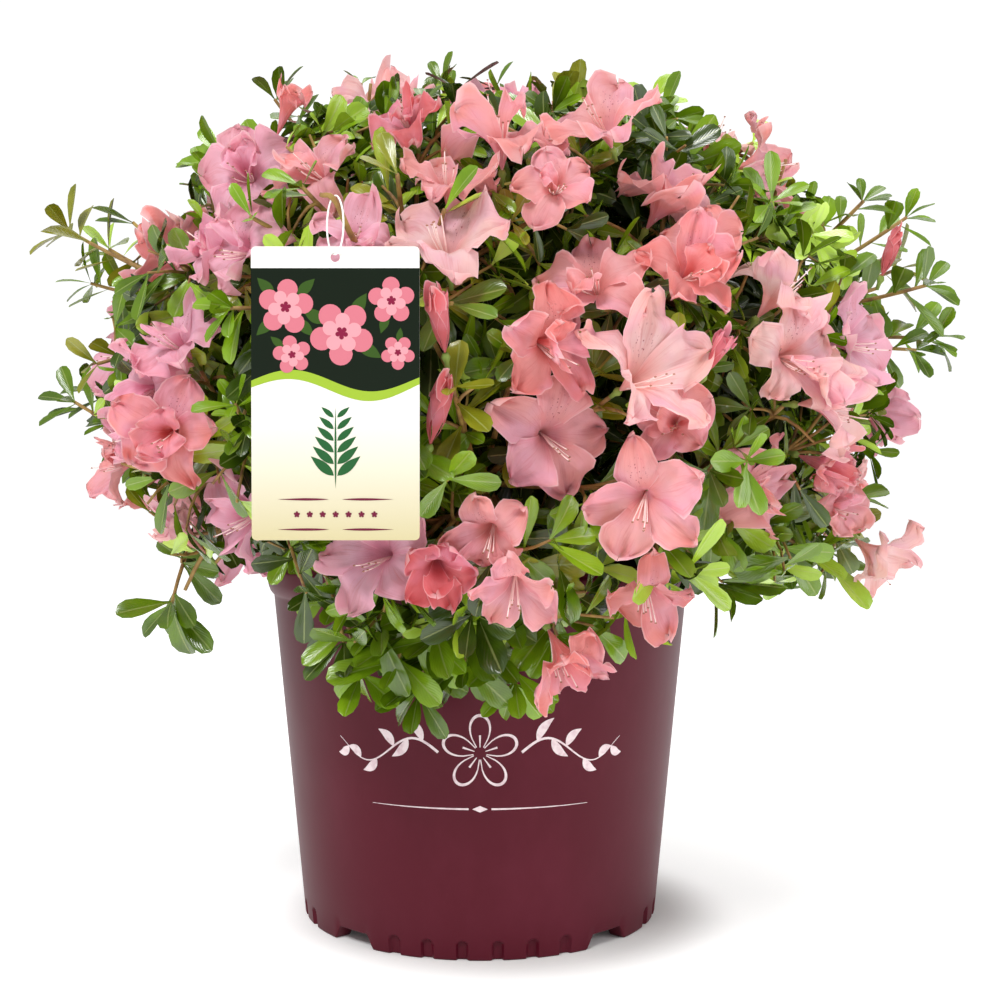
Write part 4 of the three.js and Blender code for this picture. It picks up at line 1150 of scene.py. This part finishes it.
# Card: a plain plant card of glossy card stock with rounded corners and a punched hole. Its front
# is printed with small stylised blossoms on dark green, a lime wave and a sprig on cream.
CORNER, HOLE, HOLE_DROP, PRINT_LIFT, FADE_HIGH = 2.2, 2.2, 5.0, 0.06, 70
PANEL_DROP, WAVE_AT, WAVE_HIGH, SPRAY_APART = 10, 6, 5, 1
FLOWERS = [
    # across and up from the card's middle, radius, turn
    (-23, 40, 13, 0.2), (3, 28, 15, 0.9), (26, 43, 11, 1.6), (-20, 18, 9, 0.5), (29, 19, 8, 2.2),
]
half_wide, half_thick, half_high = card_half


def rounded(radius, steps=6):
    """The card's outline with rounded corners, about its middle."""
    points = []
    for quarter, (sx, sz) in enumerate([(1, 1), (-1, 1), (-1, -1), (1, -1)]):
        for angle in np.radians(90 * quarter + 90 * np.arange(steps + 1) / steps):
            points.append((sx * (half_wide - radius) + radius * math.cos(angle),
                           sz * (half_high - radius) + radius * math.sin(angle)))
    return points


def fill_flat(form, *loops):
    """Adds a flat face in x and z that fills the first loop and leaves the others open."""
    edges = []
    for loop in loops:
        corners = [form.verts.new((x * MM, 0, z * MM)) for x, z in loop]
        edges += [form.edges.new(pair) for pair in zip(corners, corners[1:] + corners[:1])]
    bmesh.ops.triangle_fill(form, edges=edges, use_beauty=True)


def onto_card(form, lift):
    """Moves a form from the origin to the card's front, or in front of it."""
    place = in_frame(card_middle - (0, half_thick + lift, 0))
    bmesh.ops.translate(form, verts=form.verts, vec=Vector(place.tolist()))


hole_turn = np.radians(15 * np.arange(24))
hole_loop = [(HOLE * math.cos(a), half_high - HOLE_DROP + HOLE * math.sin(a)) for a in hole_turn]
card_form = bmesh.new()
fill_flat(card_form, rounded(CORNER), hole_loop)
back = bmesh.ops.extrude_face_region(card_form, geom=card_form.faces)
moved = [g for g in back["geom"] if isinstance(g, bmesh.types.BMVert)]
bmesh.ops.translate(card_form, verts=moved, vec=(0, 2 * half_thick * MM, 0))
bmesh.ops.recalc_face_normals(card_form, faces=card_form.faces)
onto_card(card_form, 0)

# Coated card stock: smooth, with a slight shine, and a tint that fades out upwards
stock, tree, surface = new_material("coated_card_stock", "#f6f3ec", Roughness=0.32, IOR=1.5)
place = node(tree, "TexCoord").outputs["Object"]
height = node(tree, "SeparateXYZ", {0: place}).outputs[2]
fade = node(tree, "MapRange", {"Value": height}, span=(tag_low.z, tag_low.z + FADE_HIGH * MM, 0.0, 1.0))
cream = node(tree, "ValToRGB", {"Fac": fade}, stops=[(0.0, "#c4b98e"), (1.0, "#e9e7e2")])
plug(surface, {"Base Color": cream})
card_piece = add_piece(mesh_of("plant_card", card_form), stock)
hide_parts("tag")


def print_layer(name, loops, colour, layer):
    """Prints flat shapes in one colour on the card's front, in millimetres from its middle."""
    form = bmesh.new()
    for loop in loops:
        fill_flat(form, loop)
    onto_card(form, PRINT_LIFT * layer)
    form.normal_update()
    for face in form.faces:
        if face.normal.y > 0:
            face.normal_flip()
    # Offset printing ink: a smooth film with the shine of the card under it
    printed, _, _ = new_material(f"card_ink_{name}", colour, Roughness=0.3, IOR=1.5, Specular_IOR_Level=0.2)
    add_piece(mesh_of(f"card_{name}", form), printed)


def leaf_loop(x, z, length, width, lean, steps=10):
    """A pointed leaf from its root at x, z."""
    s = np.linspace(0, 1, steps)
    half = width / 2 * np.sin(np.pi * s ** 0.8)
    turn = math.radians(lean)
    upper = [(length * a, b) for a, b in zip(s, half)]
    lower = [(length * a, -b) for a, b in zip(s[-2:0:-1], half[-2:0:-1])]
    return [(x + a * math.cos(turn) - b * math.sin(turn), z + a * math.sin(turn) + b * math.cos(turn))
            for a, b in upper + lower]


def blossom_loop(x, z, radius, turn, steps=60):
    """Five rounded lobes round a middle at x, z."""
    loop = []
    for k in range(steps):
        angle = 2 * math.pi * k / steps
        reach = radius * (0.52 + 0.48 * abs(math.cos(2.5 * angle)) ** 0.6)
        loop.append((x + reach * math.cos(angle + turn), z + reach * math.sin(angle + turn)))
    return loop


# The dark panel ends below in a wave, under which a lime band runs that is widest in its middle
wave = [(x, WAVE_AT + WAVE_HIGH * math.sin((x / half_wide + 1) / 2 * 2.1 * math.pi))
        for x in np.linspace(-half_wide, half_wide, 40)]
under_wave = [(x, z - 3.2 - 1.6 * math.sin((x / half_wide + 1) / 2 * math.pi)) for x, z in wave]
panel_top = half_high - PANEL_DROP
print_layer("panel", [wave + [(half_wide, panel_top), (-half_wide, panel_top)]], "#0d180c", 1)
print_layer("wave", [wave + under_wave[::-1]], "#93b034", 2)
# Small leaves stand out between the lobes of each blossom, where they have room in the panel
sprays = []
for x, z, radius, turn in FLOWERS:
    for k in range(4):
        lean = 40 + 90 * k + 20 * turn
        root_x = x + 0.6 * radius * math.cos(math.radians(lean))
        root_z = z + 0.6 * radius * math.sin(math.radians(lean))
        spray = leaf_loop(root_x, root_z, radius * 0.85, radius * 0.4, lean)
        inside = all(abs(a) < half_wide - 0.5 and 12 < b < panel_top - 1 for a, b in spray)
        spaces = [np.linalg.norm(np.array(spray)[:, None] - other, axis=2).min() for other in sprays]
        if inside and min(spaces + [9]) > SPRAY_APART:
            sprays.append(spray)
print_layer("leaves", sprays, "#344f1c", 3)
print_layer("blossoms", [blossom_loop(*f) for f in FLOWERS], "#c56f7c", 4)
print_layer("petal_lights", [blossom_loop(x, z, r * 0.62, t + 0.6) for x, z, r, t in FLOWERS], "#d6939b", 5)
print_layer("hearts", [blossom_loop(x, z, r * 0.2, t) for x, z, r, t in FLOWERS], "#7c1a3a", 6)
# On the cream part below are a sprig, and a pair of fine rules with a row of dots between them
sprig = [leaf_loop(0, -44, 38, 1.0, 90)]
for k in range(6):
    for hand in (-1, 1):
        sprig.append(leaf_loop(hand * 0.8, -38 + 5.4 * k, 14 - 1.3 * k, 4.4 - 0.4 * k, 90 - hand * 50))
print_layer("sprig", sprig, "#24582f", 2)
rules = [leaf_loop(x, z, 24, 1.1, lean) for x, lean in ((-3, 180), (3, 0)) for z in (-49, -63)]
rules += [blossom_loop(x, -56, 1.5, 0.3) for x in (-18, -12, -6, 0, 6, 12, 18)]
print_layer("rule", rules, "#6a1a36", 2)


# Loop: white elastic thread, tied in an oval through the card's hole and over a twig. The oval
# is 12 mm wide and stands at 45 degrees to the card.
LOOP_HALF_WIDE, LOOP_TURN, LOOP_STEPS, THREAD_STEPS = 6.0, -45, 64, 8
loop_middle = from_axis((loop_low + loop_high) / 2)
loop_half_high = (loop_high.z - loop_low.z) / 2 / MM - LOOP_THREAD
loop_turn = math.radians(LOOP_TURN)
wide_way = np.array([math.cos(loop_turn), math.sin(loop_turn), 0])
high_way = np.array([0, 0, 1.0])
flat_way = np.array([-math.sin(loop_turn), math.cos(loop_turn), 0])
loop_form = bmesh.new()
rows = []
for a in np.arange(LOOP_STEPS) * 2 * math.pi / LOOP_STEPS:
    inward = -math.cos(a) * wide_way - math.sin(a) * high_way
    middle = loop_middle + LOOP_HALF_WIDE * math.cos(a) * wide_way + loop_half_high * math.sin(a) * high_way
    round_thread = np.arange(THREAD_STEPS) * 2 * math.pi / THREAD_STEPS
    row = [middle + LOOP_THREAD * (math.cos(b) * inward + math.sin(b) * flat_way) for b in round_thread]
    rows.append([loop_form.verts.new(in_frame(point).tolist()) for point in row])
for a, b in zip(rows, rows[1:] + rows[:1]):
    for k in range(THREAD_STEPS):
        m = (k + 1) % THREAD_STEPS
        loop_form.faces.new((a[k], a[m], b[m], b[k]))
bmesh.ops.recalc_face_normals(loop_form, faces=loop_form.faces)
loop_mesh = mesh_of("elastic_loop", loop_form)
loop_mesh.polygons.foreach_set("use_smooth", np.ones(len(loop_mesh.polygons), bool))

# Braided elastic: matt white, with its ribs drawn coarser than they are, so that they show
elastic, tree, surface = new_material("white_elastic_thread", "#f4f4f0", Roughness=0.7)
place = node(tree, "TexCoord").outputs["Object"]
braid = node(tree, "TexWave", {"Vector": place, "Scale": 1 / (7.2 * MM), "Distortion": 0.5},
             bands_direction="DIAGONAL")
ribs = node(tree, "Bump", {"Height": braid, "Strength": 0.4, "Distance": 0.1 * MM})
plug(surface, {"Normal": ribs})
loop_piece = add_piece(loop_mesh, elastic)
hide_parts("tag_loop")
